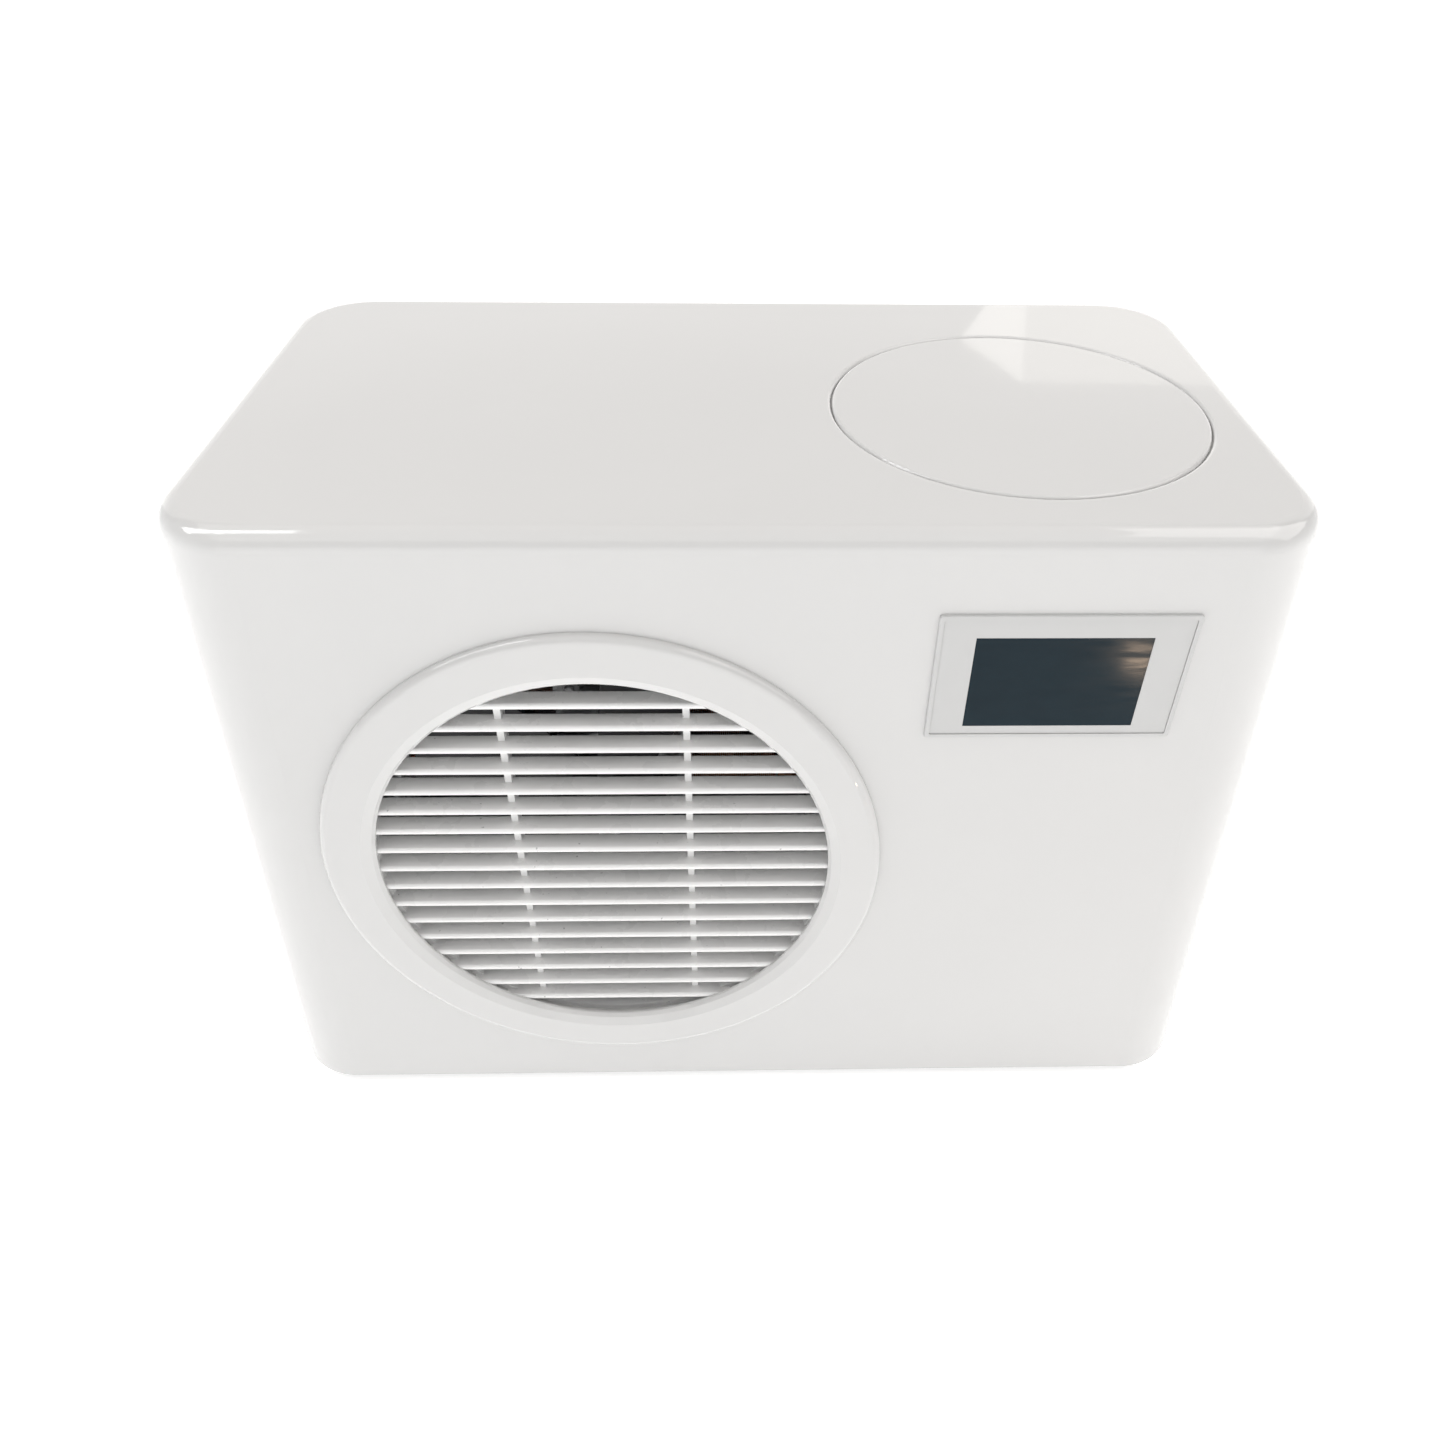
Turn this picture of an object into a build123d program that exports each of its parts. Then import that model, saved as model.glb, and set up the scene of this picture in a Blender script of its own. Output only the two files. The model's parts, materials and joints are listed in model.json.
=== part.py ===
from build123d import *
import os
from math import cos, radians, sin, tan

# Plug-in water heat pump and chiller in a one-piece drafted casing.
# Millimetres. +Z up, the front faces -Y, the floor under the feet is z = 0,
# and the origin is the centre of the footprint.

# ---- Driving dimensions: casing -------------------------------------------------------
TOP_WIDTH = 690.0
TOP_DEPTH = 378.0
CASING_HEIGHT = 492.0
RIM_Z = 8.0
DRAFT = 3.7
CORNER_R = 56.0
TOP_EDGE_R = 14.0
RIM_EDGE_R = 2.0
WALL = 4.0
SHEET = 2.0
GAP = 0.5

# ---- Driving dimensions: air outlet at the front --------------------------------------
FAN_X = -98.0
FAN_Z = 245.0
RING_R = 193.5
RING_PROUD = 6.5
RING_SLEEVE_R = 166.5
RING_SLEEVE_DEPTH = 9.0
THROAT_R = 157.0
SLAT_COUNT = 17
SLAT_PITCH = 17.37
SLAT_THICK = 4.6
SLAT_DEPTH = 16.0
SLAT_EDGE_R = 2.2
SLAT_SETBACK = 1.6
SLAT_DROP = 1.0
RIB_OFFSET = 60.0
RIB_WIDTH = 4.5
RIB_SETBACK = 10.5
GRILLE_BACK = 22.0

# ---- Driving dimensions: fan ----------------------------------------------------------
BLADE_COUNT = 5
BLADE_TIP_R = 145.0
BLADE_ROOT_R = 36.0
HUB_R = 40.0
FAN_FRONT_Y = -164.0
FAN_BACK_Y = -124.0
ORIFICE_R = 150.0
FAN_SHAFT_R = 4.0
RUNNING_GAP = 0.05
MOTOR_R = 48.0
MOTOR_FRONT_Y = -114.0
MOTOR_BACK_Y = -46.0

# ---- Driving dimensions: screen -------------------------------------------------------
SCREEN_X = 192.5
SCREEN_Z = 405.0
SCREEN_W = 157.5
SCREEN_H = 89.5
SCREEN_PROUD = 2.2
LCD_W = 108.0
LCD_H = 64.8
LCD_SHIFT = (-1.1, -3.2)

# ---- Driving dimensions: lid, tray and filter -----------------------------------------
LID_X = 186.5
LID_Y = -19.0
LID_HOLE_R = 127.2
LID_GAP = 0.9
TRAY_R = 122.0
TRAY_FLOOR_Z = 448.0
CANISTER_R = 78.0
CANISTER_LOW_Z = 140.0

# ---- Driving dimensions: rear ---------------------------------------------------------
SERVICE_X = 186.0
SERVICE_Z = 225.0
SERVICE_W = 208.0
SERVICE_H = 350.0
SERVICE_DEEP = 16.0
INTAKE_X = -118.0
INTAKE_Z = 235.0
INTAKE_W = 340.0
INTAKE_H = 362.0
FLANGE = 12.0
PORT_THREAD_R = 13.2
PORT_THREAD_LENGTH = 16.0
PORT_BORE_R = 8.0
PORT_Z = 88.0
EXCHANGER_X = 126.0
EXCHANGER_Y = 120.0

# ---- Driving dimensions: hand grips and casing screws ---------------------------------
GRIP_Z = 335.0
GRIP_W = 124.0
GRIP_H = 44.0
GRIP_R = 14.0
GRIP_DEEP = 30.0
GRIP_WALL = 2.5
GRIP_FLANGE = 7.0
SCREW_Z = 26.0
SCREW_R = 1.9
SCREW_FREE = 0.1
REAR_SCREW_XS = (-310, -105, 105, 310)
SIDE_SCREW_YS = (-110, 110)

# Cross recess of a screw, as shares of the head's radius and height
RECESS_REACH = 1.1
RECESS_WIDTH = 0.22
RECESS_DEPTH = 0.6

TOP_Z = RIM_Z + CASING_HEIGHT
SLOPE = tan(radians(DRAFT))
LEAN_COS = cos(radians(DRAFT))
LEAN_SIN = sin(radians(DRAFT))
PAN_Z = RIM_Z + 2.0
PAN_FLOOR_Z = PAN_Z + SHEET
BULKHEAD_X = 70.0


def half_width(z):
    """Half the casing's outer width at height z."""
    return TOP_WIDTH / 2 + (TOP_Z - z) * SLOPE


def half_depth(z):
    """Half the casing's outer depth at height z."""
    return TOP_DEPTH / 2 + (TOP_Z - z) * SLOPE


def front_plane(x, z):
    """Plane on the front wall at (x, z), facing out, with its y up the wall."""
    return Plane(origin=(x, -half_depth(z), z), x_dir=(1, 0, 0), z_dir=(0, -LEAN_COS, LEAN_SIN))


def rear_plane(x, z):
    """Plane on the rear wall at (x, z), facing out, with its y up the wall."""
    return Plane(origin=(x, half_depth(z), z), x_dir=(-1, 0, 0), z_dir=(0, LEAN_COS, LEAN_SIN))


def side_plane(side, y, z):
    """Plane on the left (-1) or right (+1) wall at (y, z), facing out."""
    return Plane(
        origin=(side * half_width(z), y, z),
        x_dir=(0, side, 0),
        z_dir=(side * LEAN_COS, 0, LEAN_SIN),
    )


def save(builder, name):
    """Label a finished piece and write its STEP file."""
    builder.part.label = name
    export_step(builder.part, f"parts/{name}.step")


def drafted_block(z_low, z_high, inset, edge_radius=0.0):
    """Solid between two heights that follows the casing's walls, set in from them."""
    with BuildPart() as block:
        with BuildSketch(Plane.XY.offset(z_low)):
            Rectangle(2 * (half_width(z_low) - inset), 2 * (half_depth(z_low) - inset))
        extrude(amount=z_high - z_low, taper=DRAFT)
        uprights = [edge for edge in block.edges() if abs(edge.tangent_at(0.5).Z) > 0.9]
        fillet(uprights, CORNER_R - inset)
        if edge_radius:
            fillet(block.faces().sort_by(Axis.Z)[-1].edges(), edge_radius)
    return block.part


def planes_at(plane, offsets):
    """The same plane moved to each offset in its own directions."""
    return [
        Plane(origin=plane.from_local_coords((x, y, 0)), x_dir=plane.x_dir, z_dir=plane.z_dir)
        for x, y in offsets
    ]


def screw_group(planes, head_r, head_height, shank_r, shank_length):
    """Cross-recessed pan-head screws, one on each plane, as separate solids."""
    with BuildPart() as screws:
        for plane in planes:
            with BuildSketch(plane):
                Circle(head_r)
            extrude(amount=head_height)
            with BuildSketch(plane):
                Circle(shank_r)
            extrude(amount=-shank_length)
            with BuildSketch(plane.offset(head_height)):
                Rectangle(head_r * RECESS_REACH, head_r * RECESS_WIDTH)
                Rectangle(head_r * RECESS_WIDTH, head_r * RECESS_REACH)
            extrude(amount=-head_height * RECESS_DEPTH, mode=Mode.SUBTRACT)
    return screws


def pipes(routes):
    """Round pipes, each along straight runs joined by bends: (points, bend radii, radius)."""
    with BuildPart() as tubes:
        for points, bend_radii, radius in routes:
            with BuildLine() as route:
                if len(points) == 2:
                    Line(*points)
                else:
                    FilletPolyline(*points, radius=bend_radii)
            with BuildSketch(Plane(origin=route.line @ 0, z_dir=route.line % 0)):
                Circle(radius)
            sweep()
    return tubes


os.makedirs("parts", exist_ok=True)
FRONT = front_plane(FAN_X, FAN_Z)
SCREEN = front_plane(SCREEN_X, SCREEN_Z)
REAR_SERVICE = rear_plane(SERVICE_X, SERVICE_Z)
REAR_INTAKE = rear_plane(INTAKE_X, INTAKE_Z)
GRIPS = {"left": side_plane(-1, 0, GRIP_Z), "right": side_plane(1, 0, GRIP_Z)}

# ---- Screw places ---------------------------------------------------------------------
casing_screw_planes = [rear_plane(x, SCREW_Z) for x in REAR_SCREW_XS]
casing_screw_planes += [side_plane(side, y, SCREW_Z) for side in (-1, 1) for y in SIDE_SCREW_YS]
service_reach = ((SERVICE_W - FLANGE) / 2, (SERVICE_H - FLANGE) / 2)
intake_reach = ((INTAKE_W - FLANGE) / 2, (INTAKE_H - FLANGE) / 2)
service_screw_offsets = [
    (x * service_reach[0], y * service_reach[1]) for x in (-1, 1) for y in (-1, 0, 1)
]
intake_screw_offsets = [
    (x * intake_reach[0], y * intake_reach[1]) for x in (-1, 0, 1) for y in (-1, 1)
]
service_screw_planes = planes_at(REAR_SERVICE, service_screw_offsets)
intake_screw_planes = planes_at(REAR_INTAKE, intake_screw_offsets)


# ---- Casing: one drafted shell, open underneath ---------------------------------------
casing_outer = drafted_block(RIM_Z, TOP_Z, 0, TOP_EDGE_R)
casing_inner = drafted_block(RIM_Z, TOP_Z - WALL, WALL, TOP_EDGE_R - WALL)
SCREEN_LAND = 3.5
SCREEN_CUT_W = SCREEN_W - 2 * SCREEN_LAND
SCREEN_CUT_H = SCREEN_H - 2 * SCREEN_LAND
REAR_CUT_R = 6.0
LID_HOLE_EDGE_R = 2.5
REAR_PLATE_R = 10.0
with BuildPart() as casing:
    add(casing_outer)
    fillet(casing.faces().sort_by(Axis.Z)[0].edges(), RIM_EDGE_R)
    add(casing_inner, mode=Mode.SUBTRACT)
    with BuildSketch(FRONT):
        Circle(RING_SLEEVE_R + GAP)
    extrude(amount=-3 * WALL, mode=Mode.SUBTRACT)
    with BuildSketch(SCREEN):
        Rectangle(SCREEN_CUT_W, SCREEN_CUT_H)
    extrude(amount=-3 * WALL, mode=Mode.SUBTRACT)
    with BuildSketch(Plane.XY.offset(TOP_Z)):
        with Locations((LID_X, LID_Y)):
            Circle(LID_HOLE_R)
    extrude(amount=-2 * WALL, mode=Mode.SUBTRACT)
    lid_hole_edges = [
        edge for edge in casing.edges().filter_by(GeomType.CIRCLE)
        if abs(edge.radius - LID_HOLE_R) < 0.01
    ]
    fillet(ShapeList(lid_hole_edges).sort_by(Axis.Z)[-1], LID_HOLE_EDGE_R)
    with BuildSketch(REAR_SERVICE):
        RectangleRounded(SERVICE_W - 2 * FLANGE, SERVICE_H - 2 * FLANGE, REAR_CUT_R)
    extrude(amount=-3 * WALL, mode=Mode.SUBTRACT)
    with BuildSketch(REAR_INTAKE):
        RectangleRounded(INTAKE_W - 2 * FLANGE, INTAKE_H - 2 * FLANGE, REAR_CUT_R)
    extrude(amount=-3 * WALL, mode=Mode.SUBTRACT)
    for grip_plane in GRIPS.values():
        with BuildSketch(grip_plane):
            RectangleRounded(GRIP_W, GRIP_H, GRIP_R)
        extrude(amount=-3 * WALL, mode=Mode.SUBTRACT)
    for screw_plane in casing_screw_planes + service_screw_planes + intake_screw_planes:
        with BuildSketch(screw_plane):
            Circle(SCREW_R + SCREW_FREE)
        extrude(amount=-2 * WALL, mode=Mode.SUBTRACT)
save(casing, "casing")

# ---- Base pan: pressed tray that closes the casing from below -------------------------
PAN_INSET = WALL + 0.4
PAN_TOP_Z = 38.0
DRAIN_X = -98.0
DRAIN_Y = 60.0
DRAIN_R = 8.0
DRAIN_WALL = 2.0
DRAIN_LOW_Z = 2.0
DRAIN_COLLAR = 1.5
DRAIN_NECK_R = DRAIN_R - 1.0
FOOT_R = 20.0
FOOT_BORE_R = 3.2
FOOT_RECESS_R = 9.0
FOOT_RECESS = 5.0
FOOT_PLACES = [(x, y) for x in (-300, 300) for y in (-150, 150)]
COMPRESSOR_X = 285.0
COMPRESSOR_Y = 120.0
COMPRESSOR_R = 56.0
COMPRESSOR_FOOT_R = 78.0
COMPRESSOR_BOLT_R = 4.0
pan_outer = drafted_block(PAN_Z, PAN_TOP_Z, PAN_INSET)
pan_inner = drafted_block(PAN_FLOOR_Z, PAN_TOP_Z, PAN_INSET + SHEET)
with BuildPart() as base_pan:
    add(pan_outer)
    add(pan_inner, mode=Mode.SUBTRACT)
    with BuildSketch(Plane.XY.offset(PAN_Z)):
        with Locations(*FOOT_PLACES):
            Circle(FOOT_BORE_R)
        with Locations((DRAIN_X, DRAIN_Y)):
            Circle(DRAIN_NECK_R + SCREW_FREE)
        with Locations((COMPRESSOR_X, COMPRESSOR_Y)):
            with PolarLocations(COMPRESSOR_FOOT_R, 3, start_angle=90):
                Circle(COMPRESSOR_BOLT_R + 2 * SCREW_FREE)
    extrude(amount=SHEET, mode=Mode.SUBTRACT)
    for screw_plane in casing_screw_planes:
        with BuildSketch(screw_plane.offset(-WALL)):
            Circle(SCREW_R + SCREW_FREE)
        extrude(amount=-2 * SHEET, mode=Mode.SUBTRACT)
save(base_pan, "base_pan")

casing_screws = screw_group(casing_screw_planes, 4.2, 2.2, SCREW_R, 11)
save(casing_screws, "casing_screws")

# ---- Feet and their screws ------------------------------------------------------------
with BuildPart() as feet:
    with BuildSketch():
        with Locations(*FOOT_PLACES):
            Circle(FOOT_R)
    extrude(amount=PAN_Z)
    chamfer(feet.faces().group_by(Axis.Z)[0].edges(), 1.5)
    with BuildSketch():
        with Locations(*FOOT_PLACES):
            Circle(FOOT_RECESS_R)
    extrude(amount=FOOT_RECESS, mode=Mode.SUBTRACT)
    with BuildSketch():
        with Locations(*FOOT_PLACES):
            Circle(FOOT_BORE_R)
    extrude(amount=PAN_Z, mode=Mode.SUBTRACT)
save(feet, "feet")

foot_screw_planes = [
    Plane(origin=(x, y, FOOT_RECESS), x_dir=(1, 0, 0), z_dir=(0, 0, -1)) for x, y in FOOT_PLACES
]
foot_screws = screw_group(foot_screw_planes, 6, 3, 3, 11)
save(foot_screws, "foot_screws")

# ---- Condensate drain spout -----------------------------------------------------------
DRAIN_COLLAR_R = DRAIN_R + 3.0
DRAIN_FLANGE_R = DRAIN_R + 6.0
with BuildPart() as drain_spout:
    with BuildSketch(Plane.XY.offset(DRAIN_LOW_Z)):
        with Locations((DRAIN_X, DRAIN_Y)):
            Circle(DRAIN_R)
    extrude(amount=PAN_Z - DRAIN_COLLAR - DRAIN_LOW_Z)
    with BuildSketch(Plane.XY.offset(PAN_Z - DRAIN_COLLAR)):
        with Locations((DRAIN_X, DRAIN_Y)):
            Circle(DRAIN_COLLAR_R)
    extrude(amount=DRAIN_COLLAR)
    with BuildSketch(Plane.XY.offset(PAN_Z)):
        with Locations((DRAIN_X, DRAIN_Y)):
            Circle(DRAIN_NECK_R)
    extrude(amount=SHEET)
    with BuildSketch(Plane.XY.offset(PAN_FLOOR_Z)):
        with Locations((DRAIN_X, DRAIN_Y)):
            Circle(DRAIN_FLANGE_R)
    extrude(amount=SHEET)
    with BuildSketch(Plane.XY.offset(DRAIN_LOW_Z)):
        with Locations((DRAIN_X, DRAIN_Y)):
            Circle(DRAIN_R - DRAIN_WALL)
    extrude(amount=PAN_FLOOR_Z, mode=Mode.SUBTRACT)
save(drain_spout, "drain_spout")

# ---- Trim ring round the air outlet ---------------------------------------------------
RING_SHOULDER = 6.0
RING_LIP = 1.0
THROAT_LIP_DEPTH = 1.2
RING_INNER_BEVEL = 8.5
SLEEVE_BORE_R = RING_SLEEVE_R - 3.0
ring_section_plane = Plane(origin=FRONT.origin, x_dir=FRONT.x_dir, z_dir=-FRONT.y_dir)
with BuildPart() as trim_ring:
    with BuildSketch(ring_section_plane):
        with BuildLine():
            ThreePointArc(
                (RING_R, RING_LIP),
                (RING_R - RING_SHOULDER * 0.3, RING_PROUD * 0.76),
                (RING_R - RING_SHOULDER, RING_PROUD),
            )
            Polyline(
                (RING_R - RING_SHOULDER, RING_PROUD),
                (THROAT_R + RING_INNER_BEVEL, RING_PROUD),
                (THROAT_R + 2, 3.4),
                (THROAT_R, 0.8),
                (THROAT_R, -THROAT_LIP_DEPTH),
                (SLEEVE_BORE_R, -THROAT_LIP_DEPTH),
                (SLEEVE_BORE_R, -RING_SLEEVE_DEPTH),
                (RING_SLEEVE_R, -RING_SLEEVE_DEPTH),
                (RING_SLEEVE_R, 0),
                (RING_R, 0),
                (RING_R, RING_LIP),
            )
        make_face()
    revolve(axis=Axis(FRONT.origin, FRONT.z_dir))
save(trim_ring, "trim_ring")

# ---- Louvre grille: horizontal blades and two ribs on a rim behind the trim ring ------
BLADE_END_R = SLEEVE_BORE_R - 0.4
GRILLE_RIM_IN_R = THROAT_R + 2.0
slat_section = Plane(origin=FRONT.origin, x_dir=FRONT.z_dir, z_dir=FRONT.x_dir)
with BuildPart() as slats:
    with BuildSketch(slat_section):
        with Locations((-SLAT_SETBACK - SLAT_DEPTH / 2, SLAT_DROP)):
            with GridLocations(0, SLAT_PITCH, 1, SLAT_COUNT):
                RectangleRounded(SLAT_DEPTH, SLAT_THICK, SLAT_EDGE_R)
    extrude(amount=BLADE_END_R, both=True)
    with BuildSketch(FRONT):
        Circle(BLADE_END_R)
    extrude(amount=-GRILLE_BACK, mode=Mode.INTERSECT)

with BuildPart() as louvre_grille:
    with BuildSketch(FRONT.offset(-GRILLE_BACK)):
        Circle(RING_SLEEVE_R - 1)
        Circle(GRILLE_RIM_IN_R, mode=Mode.SUBTRACT)
    extrude(amount=GRILLE_BACK - RING_SLEEVE_DEPTH)
    add(slats.part)
    with BuildSketch(FRONT.offset(-GRILLE_BACK)):
        with GridLocations(2 * RIB_OFFSET, 0, 2, 1):
            Rectangle(RIB_WIDTH, 2 * BLADE_END_R)
        Circle(BLADE_END_R, mode=Mode.INTERSECT)
    extrude(amount=GRILLE_BACK - RIB_SETBACK)
save(louvre_grille, "louvre_grille")

# ---- Fan: hub with twisted blades on the motor's shaft --------------------------------
FAN_MID_Y = (FAN_FRONT_Y + FAN_BACK_Y) / 2
HUB_LENGTH = 44.0
ROOT_CHORD = 46.0
TIP_CHORD = 92.0
ROOT_PITCH = 38.0
TIP_PITCH = 21.0
BLADE_THICK = 2.6


def facing_front(y):
    """Plane square to the fan's axis at depth y, facing the front."""
    return Plane(origin=(FAN_X, y, FAN_Z), x_dir=(1, 0, 0), z_dir=(0, -1, 0))


def radial_plane(radius):
    """Plane square to a radius of the fan, x along the fan's axis."""
    return Plane(origin=(radius, 0, 0), x_dir=(0, 0, 1), z_dir=(1, 0, 0))


with BuildPart() as fan_blade:
    with BuildSketch(radial_plane(BLADE_ROOT_R)):
        RectangleRounded(BLADE_THICK, ROOT_CHORD, BLADE_THICK * 0.4, rotation=ROOT_PITCH)
    with BuildSketch(radial_plane(BLADE_TIP_R + 4)):
        RectangleRounded(BLADE_THICK, TIP_CHORD, BLADE_THICK * 0.4, rotation=TIP_PITCH)
    loft()
    with BuildSketch(Plane.XY.offset(-HUB_LENGTH)):
        Circle(BLADE_TIP_R)
    extrude(amount=2 * HUB_LENGTH, mode=Mode.INTERSECT)

with BuildPart() as fan_rotor:
    with BuildSketch(Plane.XY.offset(-HUB_LENGTH / 2)):
        Circle(HUB_R)
    extrude(amount=HUB_LENGTH)
    fillet(fan_rotor.faces().sort_by(Axis.Z)[-1].edges(), 8)
    with PolarLocations(0, BLADE_COUNT):
        add(fan_blade.part)
    with BuildSketch(Plane.XY.offset(-HUB_LENGTH / 2)):
        Circle(FAN_SHAFT_R)
    extrude(amount=HUB_LENGTH, mode=Mode.SUBTRACT)
fan_rotor.part.locate(facing_front(FAN_MID_Y).location)
save(fan_rotor, "fan_rotor")

SHAFT_FRONT_Y = FAN_FRONT_Y - 12.0
SHAFT_BACK_Y = MOTOR_BACK_Y - 14.0
with BuildPart() as fan_shaft:
    with BuildSketch(facing_front(SHAFT_BACK_Y)):
        Circle(FAN_SHAFT_R)
    extrude(amount=SHAFT_BACK_Y - SHAFT_FRONT_Y)
save(fan_shaft, "fan_shaft")

HUB_FRONT_Y = FAN_MID_Y - HUB_LENGTH / 2
FAN_NUT_R = 8.0
FAN_NUT_THICK = 6.0
with BuildPart() as fan_nut:
    with BuildSketch(facing_front(HUB_FRONT_Y)):
        RegularPolygon(FAN_NUT_R, 6)
        Circle(FAN_SHAFT_R, mode=Mode.SUBTRACT)
    extrude(amount=FAN_NUT_THICK)
save(fan_nut, "fan_nut")

# ---- Fan shroud: orifice plate with a collar round the blades -------------------------
SHROUD_Y = -126.0
SHROUD_LOW_Z = 14.0
SHROUD_HIGH_Z = 424.0
SHROUD_LEFT_X = -338.0
COLLAR_FRONT_Y = -168.0
shroud_centre = Plane(
    origin=((SHROUD_LEFT_X + BULKHEAD_X) / 2, SHROUD_Y, (SHROUD_LOW_Z + SHROUD_HIGH_Z) / 2),
    x_dir=(1, 0, 0),
    z_dir=(0, -1, 0),
)
with BuildPart() as fan_shroud:
    with BuildSketch(shroud_centre):
        Rectangle(BULKHEAD_X - GAP - SHROUD_LEFT_X, SHROUD_HIGH_Z - SHROUD_LOW_Z)
    extrude(amount=SHEET)
    with BuildSketch(facing_front(SHROUD_Y)):
        Circle(ORIFICE_R)
    extrude(amount=SHEET, mode=Mode.SUBTRACT)
    with BuildSketch(facing_front(SHROUD_Y)):
        Circle(ORIFICE_R + SHEET)
        Circle(ORIFICE_R, mode=Mode.SUBTRACT)
    extrude(amount=SHROUD_Y - COLLAR_FRONT_Y)
save(fan_shroud, "fan_shroud")

# ---- Fan motor on two upright rails ---------------------------------------------------
RAIL_OFFSET = 38.0
RAIL_W = 26.0
RAIL_DEPTH = 14.0
RAIL_TOP_Z = 432.0
RAIL_XS = [FAN_X - RAIL_OFFSET, FAN_X + RAIL_OFFSET]
RAIL_Y = MOTOR_BACK_Y + RAIL_DEPTH / 2
CROSS_BAR_OFFSET = 70.0
CROSS_BAR_H = 20.0
MOTOR_LUG_R = 9.0
MOTOR_LUG_THICK = 4.0
MOTOR_BOLT_FREE_R = 2.6
with BuildPart() as fan_motor:
    with BuildSketch(facing_front(MOTOR_BACK_Y)):
        Circle(MOTOR_R)
    extrude(amount=MOTOR_BACK_Y - MOTOR_FRONT_Y)
    fillet(fan_motor.edges().filter_by(GeomType.CIRCLE), 5)
    with BuildSketch(facing_front(MOTOR_BACK_Y)):
        with GridLocations(2 * RAIL_OFFSET, 2 * RAIL_OFFSET, 2, 2):
            Circle(MOTOR_LUG_R)
    extrude(amount=MOTOR_LUG_THICK)
    with BuildSketch(facing_front(MOTOR_BACK_Y)):
        with GridLocations(2 * RAIL_OFFSET, 2 * RAIL_OFFSET, 2, 2):
            Circle(MOTOR_BOLT_FREE_R)
    extrude(amount=MOTOR_LUG_THICK, mode=Mode.SUBTRACT)
    with BuildSketch(facing_front(MOTOR_BACK_Y)):
        Circle(FAN_SHAFT_R + RUNNING_GAP)
    extrude(amount=MOTOR_BACK_Y - MOTOR_FRONT_Y, mode=Mode.SUBTRACT)
save(fan_motor, "fan_motor")

with BuildPart() as motor_bracket:
    with BuildSketch(Plane.XY.offset(PAN_FLOOR_Z)):
        with Locations(*[(x, RAIL_Y) for x in RAIL_XS]):
            Rectangle(RAIL_W, RAIL_DEPTH)
        with Locations(*[(x, RAIL_Y + SHEET) for x in RAIL_XS]):
            Rectangle(RAIL_W - 2 * SHEET, RAIL_DEPTH, mode=Mode.SUBTRACT)
    extrude(amount=RAIL_TOP_Z - PAN_FLOOR_Z)
    with BuildSketch(facing_front(MOTOR_BACK_Y + RAIL_DEPTH)):
        with GridLocations(0, 2 * CROSS_BAR_OFFSET, 1, 2):
            Rectangle(2 * RAIL_OFFSET + RAIL_W, CROSS_BAR_H)
    extrude(amount=-SHEET)
    with BuildSketch(facing_front(MOTOR_BACK_Y + SHEET)):
        with GridLocations(2 * RAIL_OFFSET, 2 * RAIL_OFFSET, 2, 2):
            Circle(MOTOR_BOLT_FREE_R)
    extrude(amount=2 * SHEET, mode=Mode.SUBTRACT)
save(motor_bracket, "motor_bracket")

motor_screw_planes = planes_at(
    facing_front(MOTOR_BACK_Y - MOTOR_LUG_THICK),
    [(x * RAIL_OFFSET, y * RAIL_OFFSET) for x in (-1, 1) for y in (-1, 1)],
)
motor_screws = screw_group(motor_screw_planes, 4.5, 3, 2.4, 10)
save(motor_screws, "motor_screws")

# ---- Screen: bezel, cover panel, glass, display module and board ----------------------
BEZEL_LIP = 3.0
BEZEL_CORNER_R = 2.0
BEZEL_EDGE_R = 0.9
BEZEL_RECESS = 1.8
BEZEL_DEEP = 9.0
SLEEVE_WALL = 2.0
PANEL_THICK = 1.1
PANEL_W = SCREEN_W - 2 * BEZEL_LIP - GAP
PANEL_H = SCREEN_H - 2 * BEZEL_LIP - GAP
PANEL_CORNER_R = 0.8
GLASS_FREE = 0.1
LCD_MODULE_W = 121.0
LCD_MODULE_H = 76.0
with BuildPart() as screen_bezel:
    with BuildSketch(SCREEN):
        RectangleRounded(SCREEN_W, SCREEN_H, BEZEL_CORNER_R)
    extrude(amount=SCREEN_PROUD)
    bezel_face = screen_bezel.faces().filter_by(SCREEN).sort_by(Axis(SCREEN.origin, SCREEN.z_dir))[-1]
    fillet(bezel_face.edges(), BEZEL_EDGE_R)
    with BuildSketch(SCREEN):
        Rectangle(SCREEN_CUT_W - GAP, SCREEN_CUT_H - GAP)
    extrude(amount=-BEZEL_DEEP)
    with BuildSketch(SCREEN.offset(SCREEN_PROUD)):
        RectangleRounded(SCREEN_W - 2 * BEZEL_LIP, SCREEN_H - 2 * BEZEL_LIP, BEZEL_CORNER_R / 2)
    extrude(amount=-BEZEL_RECESS, mode=Mode.SUBTRACT)
    with BuildSketch(SCREEN.offset(SCREEN_PROUD)):
        Rectangle(SCREEN_CUT_W - GAP - 2 * SLEEVE_WALL, SCREEN_CUT_H - GAP - 2 * SLEEVE_WALL)
    extrude(amount=-BEZEL_DEEP - SCREEN_PROUD, mode=Mode.SUBTRACT)
save(screen_bezel, "screen_bezel")

PANEL_BACK = SCREEN_PROUD - BEZEL_RECESS
with BuildPart() as screen_panel:
    with BuildSketch(SCREEN.offset(PANEL_BACK)):
        RectangleRounded(PANEL_W, PANEL_H, PANEL_CORNER_R)
        with Locations(LCD_SHIFT):
            Rectangle(LCD_W, LCD_H, mode=Mode.SUBTRACT)
    extrude(amount=PANEL_THICK)
save(screen_panel, "screen_panel")

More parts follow.
